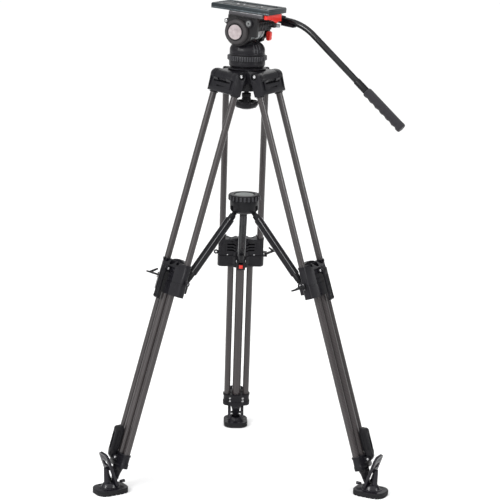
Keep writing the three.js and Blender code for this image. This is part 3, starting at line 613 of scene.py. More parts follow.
FINISHES = {
    "casting": Finish("charcoal_casting", (0.0055, 0.0052, 0.0070), (0.0095, 0.0091, 0.0112),
                      (0.085, 0.083, 0.090), (0.24, 0.36), wear=0.7, bump=0.2),
    "cheek": Finish("cheek_casting", (0.0072, 0.0068, 0.0076), (0.0120, 0.0115, 0.0125), (0.10, 0.096, 0.10),
                    (0.34, 0.46), wear=0.6, bump=0.2),
    "flange": Finish("flange_grey", (0.029, 0.027, 0.028), (0.038, 0.0355, 0.0365), (0.15, 0.145, 0.145),
                     (0.42, 0.55), wear=0.5, bump=0.18),
    "carbon": CarbonFinish("carbon_tube", (0.0190, 0.0165, 0.0172), (0.0250, 0.0220, 0.0228), (0.12, 0.11, 0.11),
                           (0.26, 0.36), wear=0.4, bump=0.10, coat=0.45, thread=(0.041, 0.0355, 0.0358)),
    "carbon_wide": CarbonFinish("carbon_tube_wide", (0.0215, 0.0185, 0.0193), (0.0278, 0.0243, 0.0252),
                                (0.12, 0.11, 0.11), (0.26, 0.36), wear=0.4, bump=0.10, coat=0.45,
                                thread=(0.046, 0.0395, 0.0398), radius=10.9),
    "plastic": Finish("black_plastic", (0.0038, 0.0037, 0.0048), (0.0068, 0.0066, 0.0080), (0.05, 0.05, 0.054),
                      (0.28, 0.42), wear=0.5, grain=1100.0, bump=0.2),
    "hub": Finish("hub_plastic", (0.0050, 0.0050, 0.0064), (0.0085, 0.0085, 0.0100), (0.085, 0.085, 0.09),
                  (0.26, 0.38), wear=0.7, grain=1100.0, bump=0.2),
    # Painted highlight: a lighter copy of black plastic for raised ribs, teeth and fins, standing in for the light they
    # catch.
    "ridge_highlight": Finish("knurled_ring", (0.026, 0.026, 0.030), (0.036, 0.036, 0.040), (0.12, 0.12, 0.125),
                    (0.24, 0.36), wear=0.7, grain=1100.0, bump=0.15),
    "red": Finish("red_plastic", (0.50, 0.018, 0.012), (0.58, 0.026, 0.018), (0.75, 0.10, 0.08),
                  (0.26, 0.38), wear=0.45, grain=900.0, bump=0.1, coat=0.3),
    "rubber": Finish("shoe_rubber", (0.0050, 0.0044, 0.0070), (0.0090, 0.0082, 0.0115), (0.055, 0.05, 0.062),
                     (0.20, 0.38), wear=0.5, grain=800.0, bump=0.25, coat=0.15),
    "sole": Finish("sole_rubber", (0.0050, 0.0050, 0.0060), (0.0085, 0.0085, 0.0095), (0.03, 0.03, 0.033),
                   (0.5, 0.68), wear=0.4, grain=700.0, bump=0.4),
    "foam": FoamFinish("grip_foam", (0.014, 0.0132, 0.0165), (0.021, 0.020, 0.0235), (0.04, 0.04, 0.042),
                       (0.6, 0.8), wear=0.2, bump=0.6, sheen=0.15),
    "plate": Finish("dark_anodised", (0.023, 0.028, 0.031), (0.030, 0.036, 0.039), (0.20, 0.23, 0.25),
                    (0.30, 0.42), metallic=0.5, wear=0.6, bump=0.1),
    "receiver": Finish("grey_anodised", (0.060, 0.058, 0.062), (0.076, 0.073, 0.078), (0.42, 0.42, 0.43),
                       (0.34, 0.46), metallic=0.35, wear=0.7, bump=0.1),
    "arm": Finish("arm_extrusion", (0.0065, 0.0065, 0.0080), (0.0105, 0.0105, 0.0120), (0.06, 0.06, 0.065),
                  (0.20, 0.30), wear=0.4, bump=0.05),
    # Painted highlight: light grey strips that stand in for the glint along the arms' edges.
    "edge_highlight": Finish("bright_edge", (0.15, 0.15, 0.155), (0.20, 0.20, 0.205), (0.4, 0.4, 0.4),
                   (0.24, 0.34), metallic=0.3, wear=0.4, bump=0.05),
    "steel": BrushedFinish("plated_steel", (0.42, 0.42, 0.43), (0.50, 0.50, 0.51), (0.7, 0.7, 0.7),
                           (0.22, 0.32), metallic=0.8, wear=0.5, bump=0.08),
    "silver": BrushedFinish("turned_silver", (0.30, 0.32, 0.325), (0.38, 0.40, 0.405), (0.55, 0.57, 0.58),
                            (0.32, 0.42), metallic=0.5, wear=0.4, bump=0.08),
    "washer": BrushedFinish("grey_washer", (0.15, 0.155, 0.155), (0.19, 0.195, 0.195), (0.4, 0.4, 0.4),
                            (0.36, 0.46), metallic=0.3, wear=0.4, bump=0.08),
    "disc": BrushedFinish("pale_disc", (0.33, 0.285, 0.29), (0.40, 0.355, 0.36), (0.55, 0.52, 0.52),
                          (0.36, 0.48), metallic=0.15, wear=0.4, bump=0.05),
    "hub_disc": BrushedFinish("grey_disc", (0.19, 0.205, 0.20), (0.27, 0.29, 0.285), (0.6, 0.6, 0.6),
                              (0.35, 0.5), metallic=0.2, wear=0.4, bump=0.05),
    "gloss": Finish("gloss_tube", (0.0030, 0.0031, 0.0040), (0.0050, 0.0051, 0.0062), (0.06, 0.06, 0.065),
                    (0.10, 0.17), wear=0.4, bump=0.02, coat=0.25),
}


class Paints:
    """Builds each finish's material once."""

    def __init__(self) -> None:
        """Make the shared shader groups."""
        self.groups = {"wear": make_wear_group(), "grain": make_grain_group(), "weave": make_weave_group()}
        self.made: dict[str, bpy.types.Material] = {}

    def get(self, finish: str) -> bpy.types.Material:
        """The material of a finish, made on first use."""
        if finish not in self.made:
            self.made[finish] = FINISHES[finish].build(self.groups)
        return self.made[finish]


# ---- frames --------------------------------------------------------------------------------------

class Frames:
    """Bench frames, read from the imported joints."""

    def __init__(self, packed: dict) -> None:
        """Keep the joints by name.
        """
        self.joints = {joint["name"]: joint for joint in packed["joints"]}

    @staticmethod
    def matrix(origin: Sequence[float], x: Vector, z: Vector) -> Matrix:
        """A frame with a given origin, X direction and Z direction."""
        y = z.cross(x).normalized()
        turned = Matrix((x, y, z)).transposed().to_4x4()
        return Matrix.Translation(Vector(origin)) @ turned

    def axis(self, joint: str) -> Vector:
        """A joint's axis."""
        return Vector(self.joints[joint]["axis"]).normalized()

    def leg(self, name: str) -> Matrix:
        """A leg's frame: X along its hinge, Y outward, Z up the leg, origin on the hinge."""
        x, z = -self.axis(f"{name}_leg_fold"), self.axis(f"{name}_middle_stage_slide")
        return self.matrix(self.joints[f"{name}_leg_fold"]["pos_m"], x, z)

    def shoe(self, name: str) -> Matrix:
        """A shoe's level frame on the ground, under its middle."""
        x, up = -self.axis(f"{name}_leg_fold"), Vector((0, 0, 1))
        hinge = Vector(self.joints[f"{name}_shoe_tilt"]["pos_m"])
        outward = up.cross(x).normalized()
        middle = hinge + outward * Shoe.hinge_in * MM
        return self.matrix((middle.x, middle.y, 0), x, up)

    def arm(self, name: str) -> Matrix:
        """An arm's frame: origin on its lower pin, Z up to its pivot in the hub."""
        foot = Vector(self.joints[f"{name}_arm_fold"]["pos_m"])
        x = -self.axis(f"{name}_leg_fold")
        outward = Vector((0, 0, 1)).cross(x).normalized()
        centre = self.centre()
        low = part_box("spreader_hub")[0].z
        top = Vector((centre.x, centre.y, low + Hub.pivot_up * MM)) + outward * Hub.pivot_out * MM
        return self.matrix(foot, x, (top - foot).normalized())

    def clip(self, name: str) -> Matrix:
        """A transport clip's frame: its pin, with X along the bar at rest."""
        joint = self.joints[f"{name}_clip_swing"]
        rest = -sum(joint["range_deg"]) / 2
        leg = self.leg(name)
        turn = Matrix.Rotation(math.radians(rest), 4, "Z")
        place = Matrix.Translation(Vector(joint["pos_m"]))
        return place @ leg.to_3x3().to_4x4() @ turn

    def centre(self) -> Vector:
        """The tripod's own axis, on the ground."""
        x, y, _ = self.joints["pan"]["pos_m"]
        return Vector((x, y, 0))

    def tripod(self) -> Matrix:
        """The tripod's frame: its axis, at ground level, with Y towards the back leg."""
        return Matrix.Translation(self.centre())

    def head(self) -> Matrix:
        """The head's level frame: on the tripod's axis at ground level, X along the tilt axis."""
        return self.matrix(self.centre(), self.axis("tilt"), Vector((0, 0, 1)))

    def tilt(self) -> Matrix:
        """The tilting part's frame: origin on the tilt axis, X along it, Z square to the plate."""
        return self.matrix(self.joints["tilt"]["pos_m"], self.axis("tilt"), -self.axis("plate_lock_swing"))

    def at_joint(self, joint: str) -> Matrix:
        """The tilting part's directions, with the origin at one of its joints."""
        return Matrix.Translation(Vector(self.joints[joint]["pos_m"])) @ self.tilt().to_3x3().to_4x4()


class Shop:
    """Places finished pieces, dresses them and gives them to their bodies."""

    def __init__(self, frames: Frames, paints: Paints) -> None:
        """Keep the frames and the paints.

        Args:
            frames: Bench frames.
            paints: Materials.
        """
        self.frames = frames
        self.paints = paints
        self.count = 0

    def deliver(self, obj: bpy.types.Object, name: str, place: Matrix, body: str, slot: str, finish: str,
                nodes: Sequence[str] = ()) -> bpy.types.Object:
        """Place a piece, give it its finish, attach it to its body and count it.

        Args:
            obj: The piece on the bench, with its bench places marked.
            name: Its final name.
            place: Its bench frame.
            body: The body it rides on.
            slot: The record's material slot; not used.
            finish: The finish it gets.
            nodes: CAD nodes it stands for.

        Returns:
            The placed piece.
        """
        if BENCH not in obj.data.attributes:
            Bench.mark(obj)
        obj.name = obj.data.name = name
        obj.matrix_world = place
        Bench.apply_place(obj)
        obj.data.materials.clear()
        obj.data.materials.append(self.paints.get(finish))
        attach(obj, body)
        if nodes:
            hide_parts(*nodes)
        self.count += 1
        log.info("piece %s on %s, %d faces", name, body, len(obj.data.polygons))
        return obj

    def deliver_legs(self, obj: bpy.types.Object, name: str, kind: str, body: str, slot: str, finish: str,
                     nodes: Sequence[str] = ()) -> None:
        """Copy a piece to all three legs and use up the original.

        Args:
            obj: The piece on the bench.
            name: Its name without the leg's.
            kind: Which of a leg's frames it is built in: leg, shoe, arm or clip.
            body: The body it rides on, without the leg's name.
            slot: The record's material slot.
            finish: The finish it gets.
            nodes: CAD nodes it stands for, without the leg's name.
        """
        if BENCH not in obj.data.attributes:
            Bench.mark(obj)
        for leg in LEGS:
            twin = obj.copy()
            twin.data = obj.data.copy()
            bpy.context.collection.objects.link(twin)
            place = getattr(self.frames, kind)(leg)
            self.deliver(twin, f"{leg}_{name}", place, f"{leg}_{body}", slot, finish,
                         [f"{leg}_{node}" for node in nodes])
        bpy.data.objects.remove(obj, do_unlink=True)


# ---- a leg ---------------------------------------------------------------------------------------

@dataclass
class Legs:
    """The three legs: shoulders, tubes, clamps, levers and spikes."""

    shop: Shop
    shoulder_half: float = 57.0
    shoulder_bottom: float = -40.0
    tongue_half: float = 36.5
    bolt_up: float = 7.6
    tube_x: float = 48.0
    tube_radius: float = 8.0
    middle_x: float = 24.7
    middle_radius: float = 8.1
    offset: float = 6.6
    wide_radius: float = 10.9
    mid_top: float = -458.0
    mid_split: float = -506.0
    mid_bottom: float = -537.0
    low_top: float = -937.7
    low_bottom: float = -971.5

    def build(self) -> None:
        """Build every piece of the legs."""
        self.shoulder()
        self.tubes()
        self.middle_clamp()
        self.middle_lever()
        self.lower_clamp()
        self.lower_lever()
        self.spike()
        self.clip()

    def shoulder(self) -> None:
        """Forked casting at the top of a leg, its pin bolts, the tube collars and thin dark discs of painted shade in
        the bolt recesses.
        """
        half, bottom = self.shoulder_half, self.shoulder_bottom
        side = [(-10, bottom), (14, bottom), (16.4, -5), *arc(0, 0, 17, -17, 126, 20)]
        body = Bench.prism(side, Axis.X, -half, half)
        front = [(-half, bottom - 1), (half, bottom - 1), *arc(half - 13, 5, 13, 0, 90, 10),
                 *arc(13 - half, 5, 13, 90, 180, 10)]
        Bench.combine(Join.COMMON, body, Bench.prism(front, Axis.Y, -20, 20))
        Bench.cut(body, Bench.block((-self.tongue_half, self.tongue_half), (-30, 30), (-16, 30)))
        for s in (-1, 1):
            x = s * self.tube_x
            Bench.cut(body,
                      Bench.rod(Axis.Z, bottom - 1, -19, (x, 0), self.tube_radius + 0.3),
                      Bench.rod(Axis.X, *sorted((s * 50.6, s * 60)), (0, self.bolt_up), 8.4),
                      Bench.block(tuple(sorted((s * 41, s * 52))), (-12.5, -8), (-33, -12)),
                      Bench.block(tuple(sorted((s * 41, s * 53))), (13.0, 19), (-30, -8)))
        Bench.cut(body, Bench.block((-20, 20), (11.0, 20), (-27, -24)),
                  Bench.block((-33, 33), (-12, -8.6), (-34, -22)))
        for s in (-1, 1):
            lip = [*arc(0, 0, 19.0, -60, -22, 8), *arc(0, 0, 17.3, -22, -62, 8)]
            Bench.add(body, Bench.prism(lip, Axis.X, *sorted((s * 19.5, s * 37.5))))
        Bench.add(body, Bench.prism([*arc(0, 0, 18.4, -60, -51, 4), *arc(0, 0, 17.3, -51, -64, 4)], Axis.X, -20, 20))
        self.shop.deliver_legs(Bench.soften(body, 1.5, 3), "shoulder", "leg", "upper_leg", "casting",
                               "casting", ["leg_shoulder"])
        bolts = []
        for s in (-1, 1):
            head = Bench.rod(Axis.X, *sorted((s * 51.4, s * 54.2)), (0, self.bolt_up), 3.7)
            Bench.cut(head, Bench.rod(Axis.X, *sorted((s * 53.5, s * 58)), (0, self.bolt_up), 1.8, sides=6))
            bolts.append(head)
            collar = Bench.turned([(8.2, -43), (10, -43), (10.4, -42), (10.4, -40.4), (8.2, -40.4)], 40, True)
            Bench.move(collar, s * self.tube_x)
            # Painted shade: a thin dark disc at the bottom of each bolt recess stands in for the shade inside it.
            bolts.append(Bench.gather(collar, Bench.rod(Axis.X, *sorted((s * 50.7, s * 51.3)), (0, self.bolt_up), 8.1)))
        heads = Bench.gather(bolts[0], bolts[2])
        collars_and_shade_discs = Bench.gather(bolts[1], bolts[3])
        self.shop.deliver_legs(Bench.soften(heads, 0.4), "shoulder_bolts", "leg", "upper_leg", "grey_metal",
                               "steel")
        self.shop.deliver_legs(Bench.soften(collars_and_shade_discs, 0.4), "shoulder_collars", "leg", "upper_leg",
                               "black_plastic", "sole")

    def tube(self, x: float, y: float, radius: float, low: float, high: float) -> bpy.types.Object:
        """A hollow tube with eased ends, marked on its own axis for the weave."""
        section = [(radius - 1.5, low), (radius - 0.4, low), (radius, low + 0.5), (radius, (low + high) / 2),
                   (radius, high - 0.5), (radius - 0.4, high), (radius - 1.5, high)]
        pipe = Bench.mark(Bench.turned(section, 44, True))
        Bench.soften(pipe, 0.1, 1, 60)
        return Bench.move(pipe, x, y)

    def tubes(self) -> None:
        """The carbon tubes of all stages."""
        for tag, s in (("a", -1), ("b", 1)):
            upper = self.tube(s * self.tube_x, 0, self.tube_radius, self.mid_top - 19, -21)
            self.shop.deliver_legs(upper, f"upper_tube_{tag}_carbon", "leg", "upper_leg", "carbon", "carbon",
                                   [f"upper_tube_{tag}"])
            middle = self.tube(s * self.middle_x, self.offset, self.middle_radius,
                               self.low_top - 19, self.mid_top - 14)
            self.shop.deliver_legs(middle, f"middle_tube_{tag}_carbon", "leg", "middle_stage", "carbon",
                                   "carbon", [f"middle_tube_{tag}"])
        lower = self.tube(0, self.offset, self.wide_radius, self.low_bottom - 11, self.mid_top - 54)
        self.shop.deliver_legs(lower, "lower_tube_carbon", "leg", "lower_stage", "carbon", "carbon_wide",
                               ["lower_tube"])

    def outline(self, lobe: float, inner: float, outer: float) -> list[Point]:
        """Outline of the middle clamp: a lobe round each upper tube and a thicker middle."""
        x = self.tube_x
        return [(-x, -lobe), (-21, -lobe), (-15, inner), (15, inner), (21, -lobe),
                *arc(x, 0, lobe, -90, 75, 14), (37, outer - 4), (31, outer), (-31, outer), (-37, outer - 4),
                *arc(-x, 0, lobe, 105, 270, 14)]

    def middle_clamp(self) -> None:
        """Upper and lower halves of the middle clamp with slots, ribs, arch and lugs."""
        top, split, bottom = self.mid_top, self.mid_split, self.mid_bottom
        upper = Bench.prism(self.outline(9.8, -16, 20), Axis.Z, split + 1.2, top - 4)
        band = Bench.prism(self.outline(9.0, -15, 19), Axis.Z, split - 1, split + 2)
        lid = Bench.prism(self.outline(10.8, -17, 21), Axis.Z, top - 5, top)
        lower = Bench.prism(self.outline(11.2, -17, 21), Axis.Z, bottom, split)
        arch = [(-33, top - 2), (33, top - 2), (30, top + 1),
                *[(30 - 60 * i / 16, top + 1 + 5.4 * math.sin(math.pi * i / 16)) for i in range(1, 16)],
                (-30, top + 1)]
        hump = Bench.prism(arch, Axis.Y, -14, -4)
        Bench.add(upper, band, lid, lower, hump)
        Bench.cut(upper, Bench.prism([(8, top + 1), (32, top + 1), (32, top - 13.5), (20.5, top - 13.5)],
                                     Axis.X, -37, 37))
        lugs = [Bench.block((x, x + 5), (-38, -12), (-513, -499)) for x in (6, -11)]
        lugs += [Bench.rod(Axis.X, x, x + 5, (-37.6, -506), 7) for x in (6, -11)]
        lugs += [Bench.block((-11, 11), (-42, -12), (-530, -512.5)),
                 Bench.block((9, 13.5), (15, 27), (-483, -473)), Bench.block((-13.5, -9), (15, 27), (-483, -473)),
                 Bench.rod(Axis.X, 9, 13.5, (27, -478), 5), Bench.rod(Axis.X, -13.5, -9, (27, -478), 5)]
        Bench.add(upper, *lugs)
        tools = [Bench.block((-6.4, 6.4), (-50, -32), (-525, -515)),
                 Bench.block((-5.6, 5.6), (-50, -30), (-513.5, -495))]
        for s in (-1, 1):
            for z in (-473, -481.5, -490):
                tools.append(Bench.block(tuple(sorted((s * 13, s * 35))), (-20, -3.8), (z - 2, z + 2)))
            tools.append(Bench.block(tuple(sorted((s * 38.6, s * 40.4))), (-14, -8.4), (split + 6, top - 8)))
            tools.append(Bench.block(tuple(sorted((s * 50, s * 51.6))), (-14, -8.6), (split + 6, top - 8)))
            tools.append(Bench.block(tuple(sorted((s * 38.6, s * 41))), (9, 14), (split + 6, top - 8)))
            tools.append(Bench.rod(Axis.Z, top - 20, top + 1, (s * self.tube_x, 0), self.tube_radius + 0.3))
            tools.append(Bench.rod(Axis.Z, bottom - 1, top + 20, (s * self.middle_x, self.offset),
                                   self.middle_radius + 0.4))
            tools.append(Bench.block(tuple(sorted((s * 15, s * 33))), (-20, -10.4), (bottom + 6, bottom + 7.6)))
        tools.append(Bench.rod(Axis.Z, bottom - 1, top + 20, (0, self.offset), self.wide_radius + 0.4))
        Bench.cut(upper, *tools)
        for z in (-474, -484, -494):
            Bench.cut(upper, Bench.block((-30, 30), (18.8, 22), (z - 1, z + 1)))
        fixings = [Bench.turned([(3.2, -3), (4.6, -3), (6, -1.6), (6, 1.6), (4.6, 3), (3.2, 3)], 28, True)]
        Bench.turn(fixings[0], Axis.X, 90)
        Bench.move(fixings[0], -63, 0, -500)
        fixings += [Bench.block((57, 67), (-5, 5), (-511, -509.4)), Bench.block((57, 67), (-5, 5), (-500.6, -499))]
        Bench.gather(upper, *fixings)
        self.shop.deliver_legs(Bench.soften(upper, 0.8, 2), "middle_clamp_body", "leg", "upper_leg", "casting",
                               "casting", ["middle_clamp"])
        pins = Bench.rod(Axis.X, -12.2, 12.2, (-37.6, -506), 3, sides=24)
        extra = [Bench.rod(Axis.X, -14.6, 14.6, (27, -478), 2.8, sides=24),
                 Bench.rod(Axis.Z, -512, -498, (64, 0), 1.6, sides=16),
                 Bench.rod(Axis.Y, -11.2, -9, (34, -502.6), 1.7, sides=20),
                 Bench.rod(Axis.Y, -11.2, -9, (-34, -502.6), 1.7, sides=20)]
        Bench.gather(pins, *extra)
        self.shop.deliver_legs(Bench.soften(pins, 0.3), "middle_clamp_pins", "leg", "upper_leg", "grey_metal",
                               "steel")
        button = Bench.block((-4.9, 4.9), (-44, -36), (-524.6, -515.4))
        Bench.add(button, Bench.prism(rounded(7.6, 6, 1.5, 0, -520), Axis.Y, -45.5, -43))
        self.shop.deliver_legs(Bench.soften(button, 0.7, 3), "release_button_cap", "leg", "button",
                               "red_plastic", "red", ["arm_release_button"])

    def middle_lever(self) -> None:
        """Flip lever on the outer face of the middle clamp."""
        y, z = 27, -478
        side = [(y - 4, z + 5), (y + 4, z + 6), (y + 7.4, z), (y + 8, z - 66), *arc(y + 3, z - 70, 6, -20, -110, 5),
                (y - 1, z - 77), (y + 2.5, z - 64), (y + 2.5, z - 12), (y - 4, z - 5)]
        lever = Bench.prism(side, Axis.X, -8.5, 8.5)
        face = rounded(17, 83, 6, 0, z - 35.5)
        Bench.combine(Join.COMMON, lever, Bench.prism(face, Axis.Y, y - 10, y + 12))
        Bench.cut(lever, Bench.block((-4.6, 4.6), (y + 6, y + 12), (z - 60, z - 12)))
        Bench.add(lever, Bench.prism(rounded(6, 44, 2.4, 0, z - 36), Axis.Y, y + 4, y + 7.4))
        for i in range(4):
            Bench.cut(lever, Bench.block((-7, 7), (y + 7, y + 12), (z - 64.6 - 2.6 * i, z - 63.4 - 2.6 * i)))
        self.shop.deliver_legs(Bench.soften(lever, 0.8, 2), "middle_lever_handle", "leg", "middle_lever",
                               "black_plastic", "plastic", ["middle_clamp_lever"])

    def lower_clamp(self) -> None:
        """Lower clamp round the middle tubes, with its screws."""
        x, y0, lobe = self.middle_x, self.offset, 11.0
        top, bottom = self.low_top, self.low_bottom
        plan = [(-x, y0 - lobe), (-9, y0 - 15), (9, y0 - 15), *arc(x, y0, lobe, -90, 90, 14),
                (14, y0 + 15.5), (-14, y0 + 15.5), *arc(-x, y0, lobe, 90, 270, 14)]
        inset = [(px * 0.96, y0 + (py - y0) * 0.93) for px, py in plan]
        body = Bench.prism(plan, Axis.Z, bottom, bottom + 11)
        Bench.add(body, Bench.prism(inset, Axis.Z, bottom + 10, top - 3), Bench.prism(plan, Axis.Z, top - 4, top))
        ears = [Bench.block((7, 11.5), (14, 29), (-956, -944)), Bench.block((-11.5, -7), (14, 29), (-956, -944)),
                Bench.rod(Axis.X, 7, 11.5, (29, -950), 6), Bench.rod(Axis.X, -11.5, -7, (29, -950), 6)]
        Bench.add(body, *ears)
        tools = [Bench.rod(Axis.Z, top - 18, top + 1, (s * x, y0), self.middle_radius + 0.3) for s in (-1, 1)]
        tools.append(Bench.rod(Axis.Z, bottom - 1, top + 1, (0, y0), self.wide_radius + 0.4))
        for s in (-1, 1):
            for z in (-947, -956):
                tools.append(Bench.rod(Axis.Y, -12, -4.2, (s * 17, z), 3.2, sides=24))
        Bench.cut(body, *tools)
        self.shop.deliver_legs(Bench.soften(body, 0.8, 2), "lower_clamp_body", "leg", "middle_stage", "casting",
                               "casting", ["lower_clamp"])
        screws = []
        for s in (-1, 1):
            for z in (-947, -956):
                screw = Bench.rod(Axis.Y, -7.6, -4.3, (s * 17, z), 2.7, sides=24)
                screws.append(Bench.cut(screw, Bench.rod(Axis.Y, -9, -6.4, (s * 17, z), 1.4, sides=6)))
        screws.append(Bench.rod(Axis.X, -12.4, 12.4, (29, -950), 2.9, sides=24))
        Bench.gather(*screws)
        self.shop.deliver_legs(Bench.soften(screws[0], 0.25), "lower_clamp_screws", "leg", "middle_stage",
                               "grey_metal", "steel")

    def lower_lever(self) -> None:
        """Flip lever of the lower clamp, standing up along the leg."""
        y, z = 29, -950
        side = [(y - 4.5, z - 4), (y + 4, z - 6), (y + 11, z + 2), (y + 13, z + 14), (y + 13, z + 62),
                *arc(y + 5, z + 66, 8.5, 0, 95, 6), (y - 1, z + 77), (y - 7, z + 71), (y - 8.5, z + 62),
                (y - 8.5, z + 22), (y - 4, z + 12), (y - 4, z + 4.5)]
        lever = Bench.prism(side, Axis.X, -6.5, 6.5)
        Bench.cut(lever, Bench.block((-3.6, 3.6), (y + 11, y + 16), (z + 18, z + 58)),
                  *[Bench.prism(rounded(9, 44, 3, y + 2.5, z + 42), Axis.X, a, a + 4) for a in (-8.5, 4.5)])
        Bench.add(lever, Bench.rod(Axis.X, -6.5, 6.5, (y + 0.5, z), 5.2, sides=28))
        self.shop.deliver_legs(Bench.soften(lever, 0.8, 2), "lower_lever_handle", "leg", "lower_lever",
                               "black_plastic", "plastic", ["lower_clamp_lever"])

    def spike(self) -> None:
        """Collar and spike at the end of the lower tube."""
        bottom = self.low_bottom
        body = Bench.turned([(0, -1027), (1.2, -1026.4), (6.2, -1014.5), (6.8, -1013.5), (11.2, -985.5),
                             (11.9, -984.6), (12.4, -982), (13.2, -981), (13.2, -976.5), (12.6, -975.8),
                             (13.2, -975), (13.2, bottom - 1.8), (0, bottom - 1.8)], 48)
        Bench.cut(body, Bench.rod(Axis.Z, bottom - 12, bottom, (0, 0), self.wide_radius + 0.3))
        for i in range(8):
            notch = Bench.block((12.4, 15), (-1.2, 1.2), (-981.4, -974))
            Bench.cut(body, Bench.turn(notch, Axis.Z, 45 * i + 22.5))
        Bench.gather(body, Bench.rod(Axis.X, -13, 13, (0, -1000), 3, sides=24))
        Bench.mark(Bench.soften(body, 0.4, 2))
        Bench.move(body, 0, self.offset)
        self.shop.deliver_legs(body, "spike", "leg", "lower_stage", "casting", "casting", ["spike_foot"])

    def clip(self) -> None:
        """Transport clip with its hooked blade, one roll for each leg."""
        rolls = {"back": 60, "left": 90, "right": 0}
        for leg, roll in rolls.items():
            bar = Bench.prism([(0, -2.4), (29, -2.0), *arc(32, 0, 2.2, -60, 60, 4), (29, 2.0), (0, 2.4)],
                              Axis.Y, -2.2, 2.2)
            Bench.add(bar, Bench.rod(Axis.Z, -4, 4, (0, 0), 3.8, sides=28))
            blade = Bench.prism([(0, -3), (19, -2.2), *arc(19.5, 0, 2.2, -90, 90, 5), (0, 3)], Axis.Y, -1.2, 1.2)
            Bench.turn(blade, Axis.Y, -135)
            Bench.move(blade, 25)
            Bench.turn(blade, Axis.X, roll - 60)
            Bench.add(bar, blade)
            Bench.soften(bar, 0.5, 2)
            self.shop.deliver(bar, f"{leg}_clip_bar", self.shop.frames.clip(leg), f"{leg}_clip",
                              "black_plastic", "plastic", [f"{leg}_transport_clip"])


@dataclass
class Shoe:
    """Rubber shoe on each spike: sole, dome, strap with its loop, and post."""

    shop: Shop
    length: float = 82.0
    width: float = 62.6
    sole: float = 13.0
    height: float = 26.0
    strap_lean: float = 19.9
    lean: float = 17.12
    hinge_in: float = 10.0  # the hinge is this far towards the tripod's axis from the shoe's middle

    def build(self) -> None:
        """Build the sole, the dome and the strap."""
        half, sole = self.length / 2, self.sole
        squeeze = (self.width / self.length, 1, 1)
        tread = Bench.prism(rounded(self.width, self.length, 23), Axis.Z, 0, 6)
        Bench.add(tread, Bench.prism(rounded(self.width - 2.4, self.length - 2.4, 22), Axis.Z, 5, 7.4),
                  Bench.prism(rounded(self.width, self.length, 23), Axis.Z, 7, sole - 1.6))
        for y in (-24, -12, 0, 12, 24):
            Bench.cut(tread, Bench.block((-40, 40), (y - 2, y + 2), (-1, 1.6)))
        Bench.soften(tread, 0.8, 2)
        pocket = Bench.rod(Axis.Z, -1, 26, (0, 0), 5.6, 14.5)
        Bench.turn(pocket, Axis.X, self.lean)
        Bench.move(pocket, 0, -4.6, 10.4)
        dome = Bench.turned([(0, sole - 2.4), (half - 12, sole - 2.4), (half - 12, sole + 0.4),
                             (half - 13, sole + 1.4), (half - 17, sole + 2), (half - 19.4, sole + 7),
                             (half - 23.4, self.height - 1.6), (half - 28, self.height - 0.4),
                             (0, self.height)], 64)
        dome.scale = squeeze
        Bench.apply_place(dome)
        deck = Bench.prism(rounded(self.width - 3, self.length - 3, 21.5), Axis.Z, sole - 2.2, sole)
        for s in (-1, 1):
            Bench.cut(deck, Bench.prism(rounded(7, 34, 3, s * 24, 4), Axis.Z, sole - 1.2, sole + 2))
        Bench.add(dome, deck)
        Bench.cut(dome, pocket)
        Bench.add(dome, Bench.rod(Axis.Y, -38, -26, (0, 22), 4, 3.2, 24), Bench.turn(
            Bench.rod(Axis.Z, 18, 62, (0, 9), 7.6, 6.4, 28), Axis.X, -3, (0, 9, 18)))
        Bench.soften(dome, 0.8, 3)
        bars = [(-21, 0), (-13, 0), (-13, 45), (13, 45), (13, 0), (21, 0), *arc(10, 78, 11, 0, 90, 7),
                *arc(-10, 78, 11, 90, 180, 7)]
        strap = Bench.prism(bars, Axis.Y, -3, 3)
        Bench.cut(strap, Bench.prism(rounded(24, 13, 5, 0, 62.5), Axis.Y, -6, 6),
                  Bench.block((-19.6, -14.6), (-6, -1.8), (4, 66)), Bench.block((14.6, 19.6), (-6, -1.8), (4, 66)))
        for i in range(3):
            Bench.cut(strap, Bench.block((-12, 12), (2.2, 6), (76 + 3.2 * i, 77.4 + 3.2 * i)))
        Bench.turn(strap, Axis.X, -self.strap_lean)
        Bench.move(strap, 0, -self.hinge_in, 17)
        Bench.soften(strap, 1.0, 3)
        Bench.gather(dome, strap)
        self.shop.deliver_legs(dome, "shoe_upper", "shoe", "shoe", "rubber", "rubber", ["rubber_shoe"])
        self.shop.deliver_legs(tread, "shoe_sole", "shoe", "shoe", "rubber", "sole")


